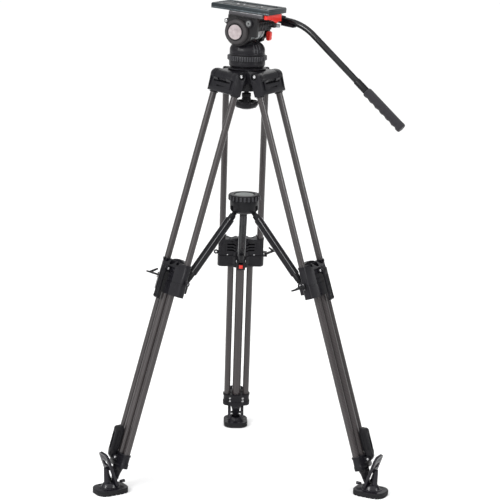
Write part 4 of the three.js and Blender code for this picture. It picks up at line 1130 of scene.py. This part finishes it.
@dataclass
class Hub:
    """Hub of the spreader and its three arms."""

    shop: Shop
    bottom: float = 655.0
    ring: float = 688.0
    top: float = 702.0
    radius: float = 35.0
    ring_radius: float = 38.6
    pivot_up: float = 8.0  # the arms' pivots, above the hub's underside
    pivot_out: float = 22.0

    def build(self) -> None:
        """Build the hub, its teeth with a painted highlight, its disc and the arms."""
        place = self.shop.frames.tripod()
        body = Bench.turned([(0, self.bottom), (20, self.bottom), (27, self.bottom + 1.4), (self.radius - 2, 662),
                             (self.radius, 666), (self.radius, self.ring - 1.6), (self.radius - 0.8, self.ring - 1),
                             (self.radius - 0.8, self.ring), (self.ring_radius, self.ring),
                             (self.ring_radius, self.top - 2.6), (self.ring_radius - 1.6, self.top - 0.2),
                             (27, self.top), (25, self.top - 1.4), (24, self.top - 3), (0, self.top - 3)], 72)
        teeth = []
        for i in range(24):
            notch = Bench.block((self.ring_radius - 2.4, self.ring_radius + 2), (-2.4, 2.4),
                                (self.ring - 1, self.top - 2.4))
            Bench.cut(body, Bench.turn(notch, Axis.Z, 15 * i + 7.5))
            # Painted highlight: the teeth take the lighter ridge finish, so they read lit against the dark gaps of the
            # hub body.
            tooth = Bench.block((self.ring_radius - 0.6, self.ring_radius + 0.7), (-2.2, 2.2),
                                (self.ring + 0.8, self.top - 3.0))
            teeth.append(Bench.turn(tooth, Axis.Z, 15 * i))
        Bench.gather(*teeth)
        self.shop.deliver(Bench.soften(teeth[0], 0.4, 2), "hub_grips", place, "spreader_hub", "black_plastic",
                          "ridge_highlight")
        for turn in (0, 120, 240):
            slot = Bench.block((-6, 6), (11, 60), (self.bottom - 5, self.ring - 12))
            Bench.cut(body, Bench.turn(slot, Axis.Z, turn))
        self.shop.deliver(Bench.soften(body, 0.6, 2), "hub_body", place, "spreader_hub", "black_plastic", "hub",
                          ["spreader_hub"])
        disc = Bench.turned([(0, self.top - 3), (23.4, self.top - 3), (23.4, self.top - 1.8), (22.4, self.top - 1),
                             (20, self.top - 1), (19.6, self.top - 1.4), (0, self.top - 1.4)], 64)
        self.shop.deliver(Bench.soften(disc, 0.2, 2), "hub_disc", place, "spreader_hub", "grey_metal", "hub_disc")
        self.arms()

    def arms(self) -> None:
        """Extruded arms with a groove in each side, light strips of painted highlight along their edges, their lower
        sockets and their tongues.
        """
        length = (self.shop.frames.arm("back").translation - self.pivot()).length / MM
        bar = Bench.block((-8.5, 8.5), (-6.5, 6.5), (30, length - 26))
        for s in (-1, 1):
            Bench.cut(bar, Bench.block(tuple(sorted((s * 7.3, s * 9))), (-3.6, 3.6), (28, length - 24)),
                      Bench.block((-5.4, 5.4), tuple(sorted((s * 5.6, s * 8))), (28, length - 24)))
        Bench.add(bar, Bench.block((-5.7, 5.7), (-6.2, 6.2), (length - 27, length - 14)))
        self.shop.deliver_legs(Bench.soften(bar, 1.0, 2), "arm_bar", "arm", "arm", "black_plastic", "arm",
                               ["spreader_arm"])
        # Painted highlight: thin light strips on each arm's four edges stand in for the glint along the extrusion.
        highlight_strips = [Bench.block((a * 8.65 - 0.55, a * 8.65 + 0.55), (b * 6.65 - 0.55, b * 6.65 + 0.55),
                             (31, length - 27)) for a in (-1, 1) for b in (-1, 1)]
        Bench.gather(*highlight_strips)
        self.shop.deliver_legs(Bench.soften(highlight_strips[0], 0.3, 2), "arm_edges", "arm", "arm", "black_plastic", "edge_highlight")
        socket = Bench.turned([(0, 9), (6.6, 9), (8, 10.4), (8, 13), (7.4, 13.6), (7.4, 14.6), (8.4, 15.4),
                               (8.4, 32.6), (7.8, 34), (0, 34)], 40)
        eye = Bench.block((-5.5, 5.5), (-5, 5), (0, 11))
        Bench.add(eye, Bench.rod(Axis.X, -5.5, 5.5, (0, 0), 5.6))
        Bench.cut(eye, Bench.rod(Axis.X, -7, 7, (0, 0), 3.3))
        tongue = Bench.block((-4, 4), (-4.5, 4.5), (length - 30, length))
        Bench.add(tongue, Bench.rod(Axis.X, -4, 4, (0, length), 4.5))
        Bench.gather(socket, eye, tongue)
        self.shop.deliver_legs(Bench.soften(socket, 0.5, 2), "arm_ends", "arm", "arm", "black_plastic", "plastic")

    def pivot(self) -> Vector:
        """The back arm's upper pivot, in metres."""
        centre = self.shop.frames.centre()
        return Vector((centre.x, centre.y + self.pivot_out * MM,
                       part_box("spreader_hub")[0].z + self.pivot_up * MM))


@dataclass
class Crown:
    """Crown casting that carries the legs and the bowl for the head."""

    shop: Shop
    hinge_radius: float = 50.8
    hinge_height: float = 990.0

    def build(self) -> None:
        """Build the crown with its tongues."""
        place = self.shop.frames.tripod()
        body = Bench.turned([(0, 957), (33, 957), (35, 958.4), (36, 960), (36, 998), (38, 1001), (43, 1007.4),
                             (45.6, 1008.2), (46, 1009), (46, 1010.4), (45.2, 1011.2), (44, 1012), (0, 1012)], 72)
        r, h = self.hinge_radius, self.hinge_height
        outline = [(20, h - 14), (r, h - 14.4), *arc(r, h, 14.4, -80, -38, 6), *arc(r, h, 16.8, -30, 90, 18),
                   (20, h + 16.8)]
        for turn in (0, 120, 240):
            tongue = Bench.prism(outline, Axis.X, -36, 36)
            Bench.cut(tongue, Bench.block((-27, 27), (r + 15.2, r + 30), (h - 4.2, h - 2.8)))
            Bench.add(body, Bench.turn(tongue, Axis.Z, turn))
        bowl = Bench.turned([(0, 975.8), *[(x, z) for x, z in arc(0, 1014, 38.2, -80, 0, 14)], (38.2, 1020),
                             (0, 1020)], 64)
        Bench.cut(body, bowl, Bench.rod(Axis.Z, 950, 990, (0, 0), 18, sides=48))
        self.shop.deliver(Bench.soften(body, 1.0, 2), "crown_casting", place, "crown", "casting", "casting",
                          ["crown"])


@dataclass
class Head:
    """Fluid head: half ball, pan housing, tilt body, plate, levers and dials."""

    shop: Shop
    ball_height: float = 1014.0
    ring_low: float = 1029.0
    ring_high: float = 1042.0
    tilt_height: float = 1101.0
    flange_radius: float = 34.0
    drum_radius: float = 29.0

    def build(self) -> None:
        """Build every piece of the head."""
        self.base()
        self.drag_ring()
        self.housing()
        self.tilt_body()
        self.drums()
        self.plate()
        self.levers()

    def base(self) -> None:
        """Half ball with its flange and stud, and the tie-down knob."""
        place = self.shop.frames.head()
        ball = [(x, z) for x, z in arc(0, self.ball_height, 37.2, -80, -4, 14)]
        body = Bench.turned([(0, 925), (5.4, 925), (6, 925.8), (6, 977.2), *ball, (37.1, 1014.5), (40.6, 1014.5),
                             (41.4, 1015.2), (43.5, 1018), (43.5, 1025.6), (42.9, 1026.2), (43.5, 1026.8),
                             (43.5, self.ring_low - 0.4), (39, self.ring_low - 0.4), (39, self.ring_high),
                             (0, self.ring_high)], 80)
        for i in range(6):
            notch = Bench.block((42.2, 46), (-4.5, 4.5), (1012, 1019))
            Bench.cut(body, Bench.turn(notch, Axis.Z, 60 * i + 12))
        self.shop.deliver(Bench.soften(body, 0.6, 2), "half_ball", place, "head_base", "casting", "casting",
                          ["head_base"])
        knob = Bench.turned([(0, 911), (12, 911), (13, 911.6), (24, 915), (28, 920), (29.3, 923.4), (29.3, 929),
                             (28.6, 930.2), (26, 930.6), (24, 929.6), (16, 925.6), (11.2, 926.4), (11.2, 937.6),
                             (10, 938.6), (10, 939.4), (11.2, 940.4), (11.2, 948.4), (10.4, 949.6), (8, 950),
                             (0, 950)], 72)
        Bench.cut(knob, Bench.rod(Axis.Z, 922, 952, (0, 0), 6.4))
        for i in range(16):
            notch = Bench.rod(Axis.Z, 912, 932, (30.6, 0), 2.4, sides=14)
            Bench.cut(knob, Bench.turn(notch, Axis.Z, 22.5 * i))
        for i in range(12):
            rib = Bench.rod(Axis.Z, 927.4, 936.6, (12.0, 0), 1.3, sides=12)
            Bench.cut(knob, Bench.turn(rib, Axis.Z, 30 * i))
        self.shop.deliver(Bench.soften(knob, 0.5, 2), "tie_down_handle", place, "tie_down_knob", "black_plastic",
                          "plastic", ["tie_down_knob"])

    def drag_ring(self) -> None:
        """Knurled pan drag ring with raised pads; the ribs get a lighter finish as a painted highlight."""
        place = self.shop.frames.head()
        low, high = self.ring_low, self.ring_high
        ring = Bench.turned([(39.8, low), (44.4, low), (45.4, low + 0.8), (45.4, high - 0.8), (44.6, high),
                             (39.8, high)], 96, True)
        ribs = []
        # Painted highlight: the ribs take the lighter ridge finish, so they read lit against the darker collar.
        for i in range(48):
            rib = Bench.block((43.6, 46.9 if i % 4 else 47.6), (-1.5, 1.5), (low + 1.2, high - 1.2))
            ribs.append(Bench.turn(rib, Axis.Z, 7.5 * i))
        Bench.gather(*ribs)
        self.shop.deliver(Bench.soften(ribs[0], 0.4, 2), "pan_drag_ribs", place, "pan_drag_ring",
                          "black_plastic", "ridge_highlight")
        self.shop.deliver(Bench.soften(ring, 0.5, 2), "pan_drag_collar", place, "pan_drag_ring", "black_plastic",
                          "plastic", ["pan_drag_ring"])

    def housing(self) -> None:
        """Pan housing with its dome, ribs and fins with a painted highlight, and the silver tilt barrel."""
        place = self.shop.frames.head()
        low = self.ring_high + 0.4
        dome = Bench.turned([(0, low), (42, low), (42.6, low + 0.6), (42.6, 1047.6), (42.1, 1048), (42.1, 1048.6),
                             (42.6, 1049), (42.6, 1053.4), (42.1, 1057), (40.8, 1060.6), (38.6, 1064.6),
                             (35.4, 1068.4), (31, 1071.6), (25, 1074), (18, 1075.4), (0, 1076.2)], 80)
        Bench.add(dome, Bench.block((-30, 30), (-14, 14), (1062, self.tilt_height - 8)))
        for s in (-1, 1):
            rib = Bench.prism([(s * 8, 1050), (s * 43.2, 1050), (s * 43.2, 1056), (s * 38, 1069), (s * 30, 1080),
                               (s * 8, 1080)], Axis.Y, -3 - 3 * s, 1 - 3 * s)
            Bench.add(dome, rib)
        for x in (-9, 3):
            fin = Bench.prism([(-44, 1049), (-44, 1057), (-38, 1069), (-20, 1079), (-20, 1049)], Axis.X, x, x + 3.4)
            Bench.add(dome, fin)
        Bench.combine(Join.COMMON, dome, Bench.rod(Axis.Z, 1030, 1100, (0, 0), 43.4, sides=80))
        # Painted highlight: the fins take the lighter ridge finish, standing in for a light band down the front of the
        # dome.
        fins = []
        for angle in (232, 243, 254, 40, 62):
            for turn in (-2.1, 2.1):
                groove = Bench.block((42.0, 46), (-0.6, 0.6), (1050, 1066))
                Bench.cut(dome, Bench.turn(groove, Axis.Z, angle + turn))
            fins.append(Bench.turn(Bench.prism([(40, 1049.6), (43.5, 1049.6), (43.5, 1055), (40.6, 1063),
                                                (36, 1069.4), (34, 1067)], Axis.Y, -1.0, 1.0), Axis.Z, angle))
        Bench.gather(*fins)
        self.shop.deliver(Bench.soften(fins[0], 0.4, 2), "dome_fins", place, "pan_housing", "casting", "ridge_highlight")
        self.shop.deliver(Bench.soften(dome, 0.9, 2), "pan_dome", place, "pan_housing", "casting", "casting",
                          ["pan_housing"])
        barrel = Bench.rod(Axis.X, -36.6, 36.6, (0, self.tilt_height), 26.6, sides=64)
        for x in (-26, 26):
            groove = Bench.turned([(25.6, -0.9), (28, -0.9), (28, 0.9), (25.6, 0.9)], 64, True)
            Bench.turn(groove, Axis.Y, 90)
            Bench.cut(barrel, Bench.move(groove, x, 0, self.tilt_height))
        self.shop.deliver(Bench.soften(barrel, 0.6, 2), "tilt_barrel", place, "pan_housing", "grey_metal", "silver")

    def side_outline(self, radius: float) -> list[Point]:
        """Outline of a side plate: a disc with a bolt ear in front and the body behind."""
        return [(-50, -8), *arc(0, 0, radius, 194, 385, 30), *arc(33, 22.5, 5.5, -40, 110, 8), (20, 31), (12, 37), (-50, 37)]

    def tilt_body(self) -> None:
        """Tilt body with its two cheeks, rear wall, receiver and bosses."""
        place = self.shop.frames.tilt()
        left = Bench.prism(self.side_outline(self.flange_radius), Axis.X, -50, -38.5)
        right = Bench.prism(self.side_outline(self.flange_radius), Axis.X, 38.5, 50)
        core = Bench.block((-47, 47), (-48, 30), (20, 37.4))
        rear = Bench.block((-46, 46), (-49, -35), (14.6, 21))
        Bench.add(core, rear, left, right)
        Bench.cut(core, Bench.block((-38.4, 38.4), (-34, 26), (-60, 24)),
                  Bench.rod(Axis.X, -38.4, 38.4, (0, 0), 29, sides=48),
                  Bench.block((37, 52), (-52, -20), (-28, 8)),
                  Bench.prism(rounded(72, 9, 3, 0, 30.5), Axis.Y, -60, -44),
                  Bench.block((-60, -47.8), (-46, 6), (35.2, 36.4)))
        for i in range(9):
            Bench.cut(core, Bench.block((-37 + 8.2 * i, -33.6 + 8.2 * i), (-52, -46.8), (13, 24.6)))
        for i in range(8):
            Bench.cut(core, Bench.block((-60, -49), (-44 + 6.4 * i, -40.8 + 6.4 * i), (31.2, 34.6)))
        self.shop.deliver(Bench.soften(core, 0.9, 2), "tilt_casting", place, "tilt_body", "casting", "cheek",
                          ["tilt_body"])
        shield = Bench.block((-45.5, 45.5), (-39.6, -35), (2.4, 14.2))
        for x in (-24, -8, 8, 24):
            Bench.cut(shield, Bench.block((x - 5, x + 5), (-42, -38.4), (4.4, 12)))
        self.shop.deliver(Bench.soften(shield, 0.5, 2), "rear_shield", place, "tilt_body", "casting", "plastic")
        receiver = Bench.prism([(-44, 37.6), (44, 37.6), (44, 45.4), (43, 46.4), (-43, 46.4), (-44, 45.4)],
                               Axis.Y, -60, 31)
        Bench.cut(receiver, Bench.prism([(-22, 41), (22, 41), (25, 48), (-25, 48)], Axis.Y, -70, 40),
                  Bench.block((-42, -39), (-62, -56), (36, 48)), Bench.block((39, 42), (-62, -56), (36, 48)))
        self.shop.deliver(Bench.soften(receiver, 0.6, 2), "plate_receiver", place, "tilt_body", "anodised",
                          "receiver")
        bolt = Bench.rod(Axis.X, -52, -48, (33, 22.5), 4.0, sides=32)
        Bench.cut(bolt, Bench.rod(Axis.X, -60, -50.6, (33, 22.5), 1.9, sides=6))
        self.shop.deliver(Bench.soften(bolt, 0.4, 2), "ear_bolt", place, "tilt_body", "grey_metal", "steel")
        eye = Bench.rod(Axis.X, -57.6, -54.4, (-31.5, 23.5), 6.4, sides=32)
        Bench.cut(eye, Bench.rod(Axis.X, -60, -54, (-31.5, 23.5), 2.4, sides=24))
        self.shop.deliver(Bench.soften(eye, 0.4, 2), "boss_washer", place, "tilt_body", "grey_metal", "washer")
        boss = Bench.rod(Axis.X, -57, -49, (-31.5, 23.5), 9, sides=40)
        Bench.cut(boss, Bench.rod(Axis.X, -58, -54.6, (-31.5, 23.5), 6.8, sides=32))
        rosette = Bench.rod(Axis.X, 49, 53, (-38, 30), 12, sides=40)
        core = Bench.rod(Axis.X, -57.9, -54.6, (-31.5, 23.5), 2.2, sides=24)
        Bench.gather(boss, rosette, core)
        self.shop.deliver(Bench.soften(boss, 0.6, 2), "side_bosses", place, "tilt_body", "casting", "casting")

    def drums(self) -> None:
        """Left drum with its dial and plain disc, and the right drum."""
        place = self.shop.frames.tilt()
        r = self.drum_radius
        dial = Bench.turned([(20.6, 50.4), (r + 0.5, 50.4), (r + 0.5, 56), (r - 0.2, 56.6), (r + 0.2, 57.2),
                             (r + 0.2, 59.5), (r - 1.6, 61.8), (r - 4, 62.5), (21.6, 62.5), (20.6, 61.5)], 88, True)
        for i in range(24):
            notch = Bench.rod(Axis.Z, 49, 56.2, (r + 1.5, 0), 1.3, sides=10)
            Bench.cut(dial, Bench.turn(notch, Axis.Z, 15 * i))
        Bench.turn(dial, Axis.Y, -90)
        self.shop.deliver(Bench.soften(dial, 0.4, 2), "drag_dial_ring", place, "tilt_drag_dial", "black_plastic",
                          "flange", ["tilt_drag_dial"])
        badge = Bench.turned([(0, 61.5), (17.5, 61.5), (17.5, 63.0), (16.9, 63.5), (15.5, 63.3), (0, 63.4)], 72)
        Bench.turn(badge, Axis.Y, -90)
        self.shop.deliver(Bench.soften(badge, 0.15, 1, 50), "plain_badge", place, "tilt_body", "grey_metal", "disc")
        drum = Bench.turned([(0, 49), (r, 49), (r, 60), (r - 0.8, 61), (r - 3, 63.4), (r - 4.4, 64), (20, 64),
                             (19.2, 63.2), (18.4, 64), (0, 64)], 80)
        Bench.turn(drum, Axis.Y, 90)
        stub = Bench.turned([(0, 49), (20, 49), (20, 61.4), (0, 61.4)], 48)
        Bench.turn(stub, Axis.Y, -90)
        self.shop.deliver(Bench.soften(stub, 0.3, 1), "left_stub", place, "tilt_body", "casting", "sole")
        self.shop.deliver(Bench.soften(drum, 0.4, 2), "right_drum", place, "tilt_body", "casting", "cheek")

    def plate(self) -> None:
        """Sliding camera plate with its rubber strips and camera screws."""
        place = self.shop.frames.tilt()
        low, high, y0, y1 = 47.0, 60.0, -77.0, 80.0
        side = [(y0, low), (y1, low), (y1, high - 2.6), (y1 - 2.6, high), (y0 + 2.6, high), (y0, high - 2.6)]
        body = Bench.prism(side, Axis.X, -44, 44)
        Bench.cut(body, Bench.block((-39, 39), (y0 + 8, y1 - 8), (high - 1.5, high + 2)))
        for s in (-1, 1):
            Bench.cut(body, Bench.block(tuple(sorted((s * 43.2, s * 46))), (y0 - 1, y1 + 1), (low + 2.4, low + 3.6)))
        slots = ((26, 46), (-34, 34))
        for centre, length in slots:
            Bench.cut(body, Bench.prism(rounded(9, length, 4.4, 0, centre), Axis.Z, 40, 70))
        self.shop.deliver(Bench.soften(body, 0.7, 2), "sliding_plate", place, "camera_plate", "anodised", "plate",
                          ["camera_plate"])
        key = Bench.prism([(-21.5, 41.6), (21.5, 41.6), (24, 47.2), (-24, 47.2)], Axis.Y, -28, 22)
        self.shop.deliver(Bench.soften(key, 0.4, 2), "plate_key", place, "camera_plate", "anodised", "plate")
        strips = []
        for x in (-31, 24):
            strip = Bench.prism(rounded(7, 118, 1.6, x + 3.5, -2), Axis.Z, high - 1.6, high - 0.4)
            strips.append(strip)
        Bench.gather(*strips)
        self.shop.deliver(Bench.soften(strips[0], 0.2, 1), "plate_strips", place, "camera_plate", "rubber", "sole")
        screws = []
        for y in (14, 30, -34):
            screw = Bench.rod(Axis.Z, 50, high - 0.8, (0, y), 4.2, 4.2, 28)
            Bench.cut(screw, Bench.block((-4.4, 4.4), (y - 0.7, y + 0.7), (high - 2, high + 1)))
            screws.append(Bench.add(screw, Bench.rod(Axis.Z, high - 1, high + 0.0, (0, y), 2.6, 2.2, 24)))
        Bench.gather(*screws)
        self.shop.deliver(Bench.soften(screws[0], 0.25, 1), "camera_screws", place, "camera_plate", "grey_metal",
                          "steel")

    def levers(self) -> None:
        """Red plate lock lever and red tilt brake."""
        place = self.shop.frames.at_joint("plate_lock_swing")
        plan = [(0, -4.6), (50, -6), *arc(64, -3, 4, -90, 0, 5), *arc(64, 1.4, 4, 0, 90, 5), (36, 5.4), (0, 4.6),
                *arc(0, 0, 4.6, 90, 270, 10)]
        lever = Bench.prism(plan, Axis.Z, -11, 6.2)
        Bench.combine(Join.COMMON, lever, Bench.prism(
            [(-6, -3), (14, -4), (34, -9.4), (42, -11), (66, -11), (69, -8), (69, 6.2), (-6, 6.2)], Axis.Y, -9, 9))
        Bench.add(lever, Bench.rod(Axis.Z, -14, -9, (50, -1), 4.6, 3.8, 28))
        Bench.cut(lever, Bench.block((40, 64), (-12, -6.4), (-5, -3.4)), Bench.block((40, 64), (-12, -6.4), (0, 1.6)))
        self.shop.deliver(Bench.soften(lever, 0.9, 3), "plate_lock_handle", place, "plate_lock_lever",
                          "red_plastic", "red", ["plate_lock_lever"])
        place = self.shop.frames.at_joint("tilt_brake_turn")
        brake = Bench.prism(rounded(11, 23, 5, -1.5, -1.5), Axis.X, -5.5, 4.5)
        for z in (-4, 0, 4):
            Bench.cut(brake, Bench.block((4.8, 8), (-9, 6), (z - 0.6, z + 0.6)),
                      Bench.block((-7, 7), (-10, -8), (z - 0.6, z + 0.6)))
        self.shop.deliver(Bench.soften(brake, 0.9, 3), "tilt_brake_handle", place, "tilt_brake_lever",
                          "red_plastic", "red", ["tilt_brake_lever"])


@dataclass
class PanBar:
    """Pan bar: clamp, bent tube, sleeve, foam grip and clamp knob."""

    shop: Shop
    side: float = 59.5
    start: Point = (-16.0, -1.5)
    bend: Point = (-80.0, -7.4)
    slope: float = 36.7
    run: float = 335.0
    radius: float = 7.5
    bend_radius: float = 125.0
    grip: float = 124.0

    def build(self) -> None:
        """Build every piece of the bar."""
        self.tube()
        self.foam()
        self.clamp()

    def direction(self) -> Point:
        """Unit direction of the bar past its bend."""
        return -math.cos(math.radians(self.slope)), -math.sin(math.radians(self.slope))

    def tube(self) -> None:
        """Bent tube: a disc extruded down the first run, spun round the bend and extruded again."""
        (y0, z0), (y1, z1) = self.start, self.bend
        first = Vector((0, y1 - y0, z1 - z0)) * MM
        angle = math.atan2(-(z1 - z0), -(y1 - y0))
        sweep = math.radians(self.slope) - angle
        setback = self.bend_radius * math.tan(sweep / 2) * MM
        unit = first.normalized()
        Bench.clear()
        bpy.ops.mesh.primitive_circle_add(vertices=40, radius=self.radius * MM, fill_type="NGON",
                                          location=Axis.X.place(y0, z0, 0),
                                          rotation=(math.pi / 2 + angle, 0, 0))
        obj = bpy.context.active_object
        Bench.apply_place(obj)
        bpy.ops.object.mode_set(mode="EDIT")
        bpy.ops.mesh.select_all(action="SELECT")
        bpy.ops.mesh.extrude_region_move(
            TRANSFORM_OT_translate={"value": unit * (first.length - setback)})
        down = Vector((0, -unit.z, unit.y))
        near = Vector((0, y0, z0)) * MM + unit * (first.length - setback)
        centre = near + down * self.bend_radius * MM
        bpy.ops.mesh.spin(steps=14, angle=-sweep, center=centre, axis=(1, 0, 0))
        dy, dz = self.direction()
        travel = Vector((0, dy, dz)) * (self.run * MM - setback)
        bpy.ops.mesh.extrude_region_move(TRANSFORM_OT_translate={"value": travel})
        Bench.close(obj)
        place = self.shop.frames.at_joint("pan_bar_angle")
        self.shop.deliver(Bench.soften(obj, 0.5, 2), "bar_tube", place, "pan_bar", "black_tube", "gloss",
                          ["pan_bar_tube"])

    def on_run(self, obj: bpy.types.Object) -> bpy.types.Object:
        """Move a piece built along Z onto the straight run, with Z pointing away from the head."""
        Bench.turn(obj, Axis.X, 90 + self.slope)
        return Bench.move(obj, 0, *self.bend)

    def foam(self) -> None:
        """Foam grip with finger waves, and the joint sleeve ahead of it."""
        end = self.run + 14
        low = end - self.grip
        r = self.radius
        outer = [(10.2, low), (11.4, low + 1.4), (11.9, low + 5)]
        outer += [(10.9 + 1.0 * math.cos((t - 5) / 19 * math.tau), low + t) for t in range(8, 112, 3)]
        outer += [(12.2, low + 114), (12.3, low + 119), (11.6, low + 122.6), (10.4, end - 0.3), (9, end)]
        foam = Bench.mark(Bench.turned([(0, end - 12), (r + 0.5, end - 12.2), (r + 0.5, low), *outer, (0, end)], 56))
        for vertex in foam.data.vertices:
            span = math.hypot(vertex.co.x, vertex.co.y) / MM
            if span > 9.8 and low + 4 < vertex.co.z / MM < low + 113:
                smooth = min(1.0, max(0.0, vertex.co.y / MM / span + 0.45))
                vertex.co.xy *= (span + (11.9 - span) * smooth) / span
        Bench.soften(foam, 0.2, 1, 50)
        self.on_run(foam)
        place = self.shop.frames.at_joint("pan_bar_angle")
        self.shop.deliver(foam, "grip_sleeve", place, "pan_bar", "rubber", "foam", ["pan_bar_grip"])
        sleeve = Bench.turned([(r + 0.1, low - 36), (r + 1, low - 35.6), (r + 1.4, low - 34), (r + 1.4, low - 3),
                               (r + 0.9, low - 1.4), (r + 0.1, low - 1.2)], 44, True)
        self.on_run(sleeve)
        self.shop.deliver(Bench.soften(sleeve, 0.3, 2), "bar_sleeve", place, "pan_bar", "black_tube", "plastic")

    def clamp(self) -> None:
        """Clamp round the start of the bar, with its knob."""
        (y0, z0), (y1, z1) = self.start, self.bend
        tip = math.degrees(math.atan2(z0 - z1, y0 - y1))
        place = self.shop.frames.at_joint("pan_bar_angle")
        sleeve = Bench.rod(Axis.Y, -12, 1, (0, 0), 10.0, sides=40)
        Bench.add(sleeve, Bench.prism([(-44, -10), (-44, -11.4), (-40, -12.6), (-8, -13.6), (-8, -4), (-36, -4)],
                                      Axis.X, -6, 6))
        Bench.cut(sleeve, Bench.rod(Axis.Y, -60, -0.3, (0, 0), 7.9, sides=40))
        Bench.turn(sleeve, Axis.X, tip)
        Bench.move(sleeve, 0, y0 + 1, z0)
        disc = Bench.rod(Axis.X, 53.4 - self.side, 9, (0, 0), 13, sides=48)
        Bench.add(sleeve, disc, Bench.block((53.4 - self.side, 9), (-15, 0), (-9, 8)))
        Bench.cut(sleeve, Bench.block((-30, 50.7 - self.side), (-90, 20), (-40, 40)),
                  Bench.rod(Axis.X, 7.4, 12, (0, 0), 8, sides=36))
        self.shop.deliver(Bench.soften(sleeve, 0.7, 2), "bar_clamp_casting", place, "pan_bar", "casting",
                          "casting", ["pan_bar_clamp"])
        bolt = Bench.rod(Axis.X, 7.2, 9.4, (0, 0), 5.4, sides=32)
        Bench.cut(bolt, Bench.rod(Axis.X, 8.4, 11, (0, 0), 2.6, sides=6))
        self.shop.deliver(Bench.soften(bolt, 0.4, 2), "bar_clamp_bolt", place, "pan_bar", "grey_metal", "steel")
        knob = Bench.turned([(0, -8), (7.4, -8), (8.2, -7.2), (8.2, -1.2), (7.4, -0.2), (0, -0.2)], 48)
        for i in range(12):
            notch = Bench.rod(Axis.Z, -9, 1, (8.8, 0), 1.2, sides=10)
            Bench.cut(knob, Bench.turn(notch, Axis.Z, 30 * i))
        place = self.shop.frames.at_joint("clamp_knob_turn")
        self.shop.deliver(Bench.soften(knob, 0.4, 2), "clamp_knob_cap", place, "clamp_knob", "grey_metal",
                          "silver", ["pan_bar_clamp_knob"])


@dataclass
class Studio:
    """Camera, floor and soft lights."""

    shop: Shop
    focal: float = 140.414  # on a sensor 36 mm wide
    away: Vector = Vector((-0.1506, -4.6589, 1.6141))  # camera, from the foot of the tripod's axis
    heading: float = 2.054
    pitch: float = 12.719
    roll: float = 1.216

    def build(self) -> None:
        """Set up the view and the light."""
        self.camera()
        self.floor()
        self.lights()

    def camera(self) -> None:
        """Place the camera, a little rolled."""
        h, p, r = (math.radians(v) for v in (self.heading, self.pitch, self.roll))
        forward = Vector((math.sin(h) * math.cos(p), math.cos(h) * math.cos(p), -math.sin(p)))
        right = Vector((math.cos(h), -math.sin(h), 0))
        up = right.cross(forward)
        across = right * math.cos(r) + up * math.sin(r)
        above = up * math.cos(r) - right * math.sin(r)
        data = bpy.data.cameras.new("camera")
        data.lens, data.sensor_width, data.clip_end = self.focal, 36.0, 100.0
        camera = bpy.data.objects.new("camera", data)
        turned = Matrix((across, above, -forward)).transposed().to_4x4()
        camera.matrix_world = Matrix.Translation(self.shop.frames.centre() + self.away) @ turned
        bpy.context.scene.collection.objects.link(camera)
        bpy.context.scene.camera = camera

    def floor(self) -> None:
        """A wide pale floor."""
        Bench.clear()
        bpy.ops.mesh.primitive_plane_add(size=60, location=(0, 0, -0.0005))
        floor = bpy.context.active_object
        floor.name = "studio_floor"
        material = bpy.data.materials.new("studio_floor")
        material.use_nodes = True
        nodes = Nodes(material.node_tree)
        shader = nodes.add("ShaderNodeBsdfPrincipled")
        place = nodes.add("ShaderNodeTexCoord").outputs["Object"]
        tone = nodes.mix(nodes.noise(place, 3.0), (0.86, 0.86, 0.86, 1), (0.90, 0.90, 0.90, 1))
        nodes.feed(shader.inputs["Base Color"], tone)
        shader.inputs["Roughness"].default_value = 0.9
        shader.inputs["Specular IOR Level"].default_value = 0.1
        nodes.feed(nodes.add("ShaderNodeOutputMaterial").inputs["Surface"], shader.outputs[0])
        floor.data.materials.append(material)

    def lights(self) -> None:
        """Pale surroundings, a soft sun that keeps the floor white, and soft boxes."""
        world = bpy.data.worlds.new("studio")
        world.use_nodes = True
        nodes = Nodes(world.node_tree)
        mixer = nodes.add("ShaderNodeMixShader")
        nodes.feed(mixer.inputs[0], nodes.add("ShaderNodeLightPath").outputs["Is Camera Ray"])
        for socket, strength in zip(mixer.inputs[1:], (0.42, 1.0)):
            sky = nodes.add("ShaderNodeBackground")
            sky.inputs["Color"].default_value = (1, 1, 1, 1)
            sky.inputs["Strength"].default_value = strength
            nodes.feed(socket, sky.outputs[0])
        nodes.feed(nodes.add("ShaderNodeOutputWorld").inputs["Surface"], mixer.outputs[0])
        bpy.context.scene.world = world
        bpy.context.scene.view_settings.view_transform = "Standard"
        sun = bpy.data.lights.new("sun", "SUN")
        sun.energy, sun.angle = 3.1, math.radians(110)
        self.aim(sun, (-1.6, -2.4, 4.4))
        boxes = (("key", (-2.4, -2.8, 2.6), 1.0, 80), ("fill", (2.8, -2.2, 1.8), 0.9, 48),
                 ("rim", (0.8, 3.0, 2.6), 2.4, 16))
        for name, spot, size, power in boxes:
            lamp = bpy.data.lights.new(name, "AREA")
            lamp.size, lamp.energy = size, power
            self.aim(lamp, spot)

    def aim(self, lamp: bpy.types.Light, spot: tuple[float, float, float]) -> None:
        """Hang a lamp and turn it towards the middle of the tripod."""
        light = bpy.data.objects.new(lamp.name, lamp)
        light.location = spot
        light.rotation_mode = "QUATERNION"
        light.rotation_quaternion = (Vector((0, 0, 0.7)) - Vector(spot)).to_track_quat("-Z", "Y")
        bpy.context.scene.collection.objects.link(light)


def main() -> None:
    """Build the tripod, the head and the studio."""
    logging.basicConfig(level=logging.INFO, format="%(message)s")
    shop = Shop(Frames(frame), Paints())
    Studio(shop).build()
    for part in (Legs(shop), Shoe(shop), Hub(shop), Crown(shop), Head(shop), PanBar(shop)):
        part.build()
        log.info("finished %s", type(part).__name__)
    Bench.clear()
    log.info("%d pieces", shop.count)


if __name__ == "__main__":
    main()
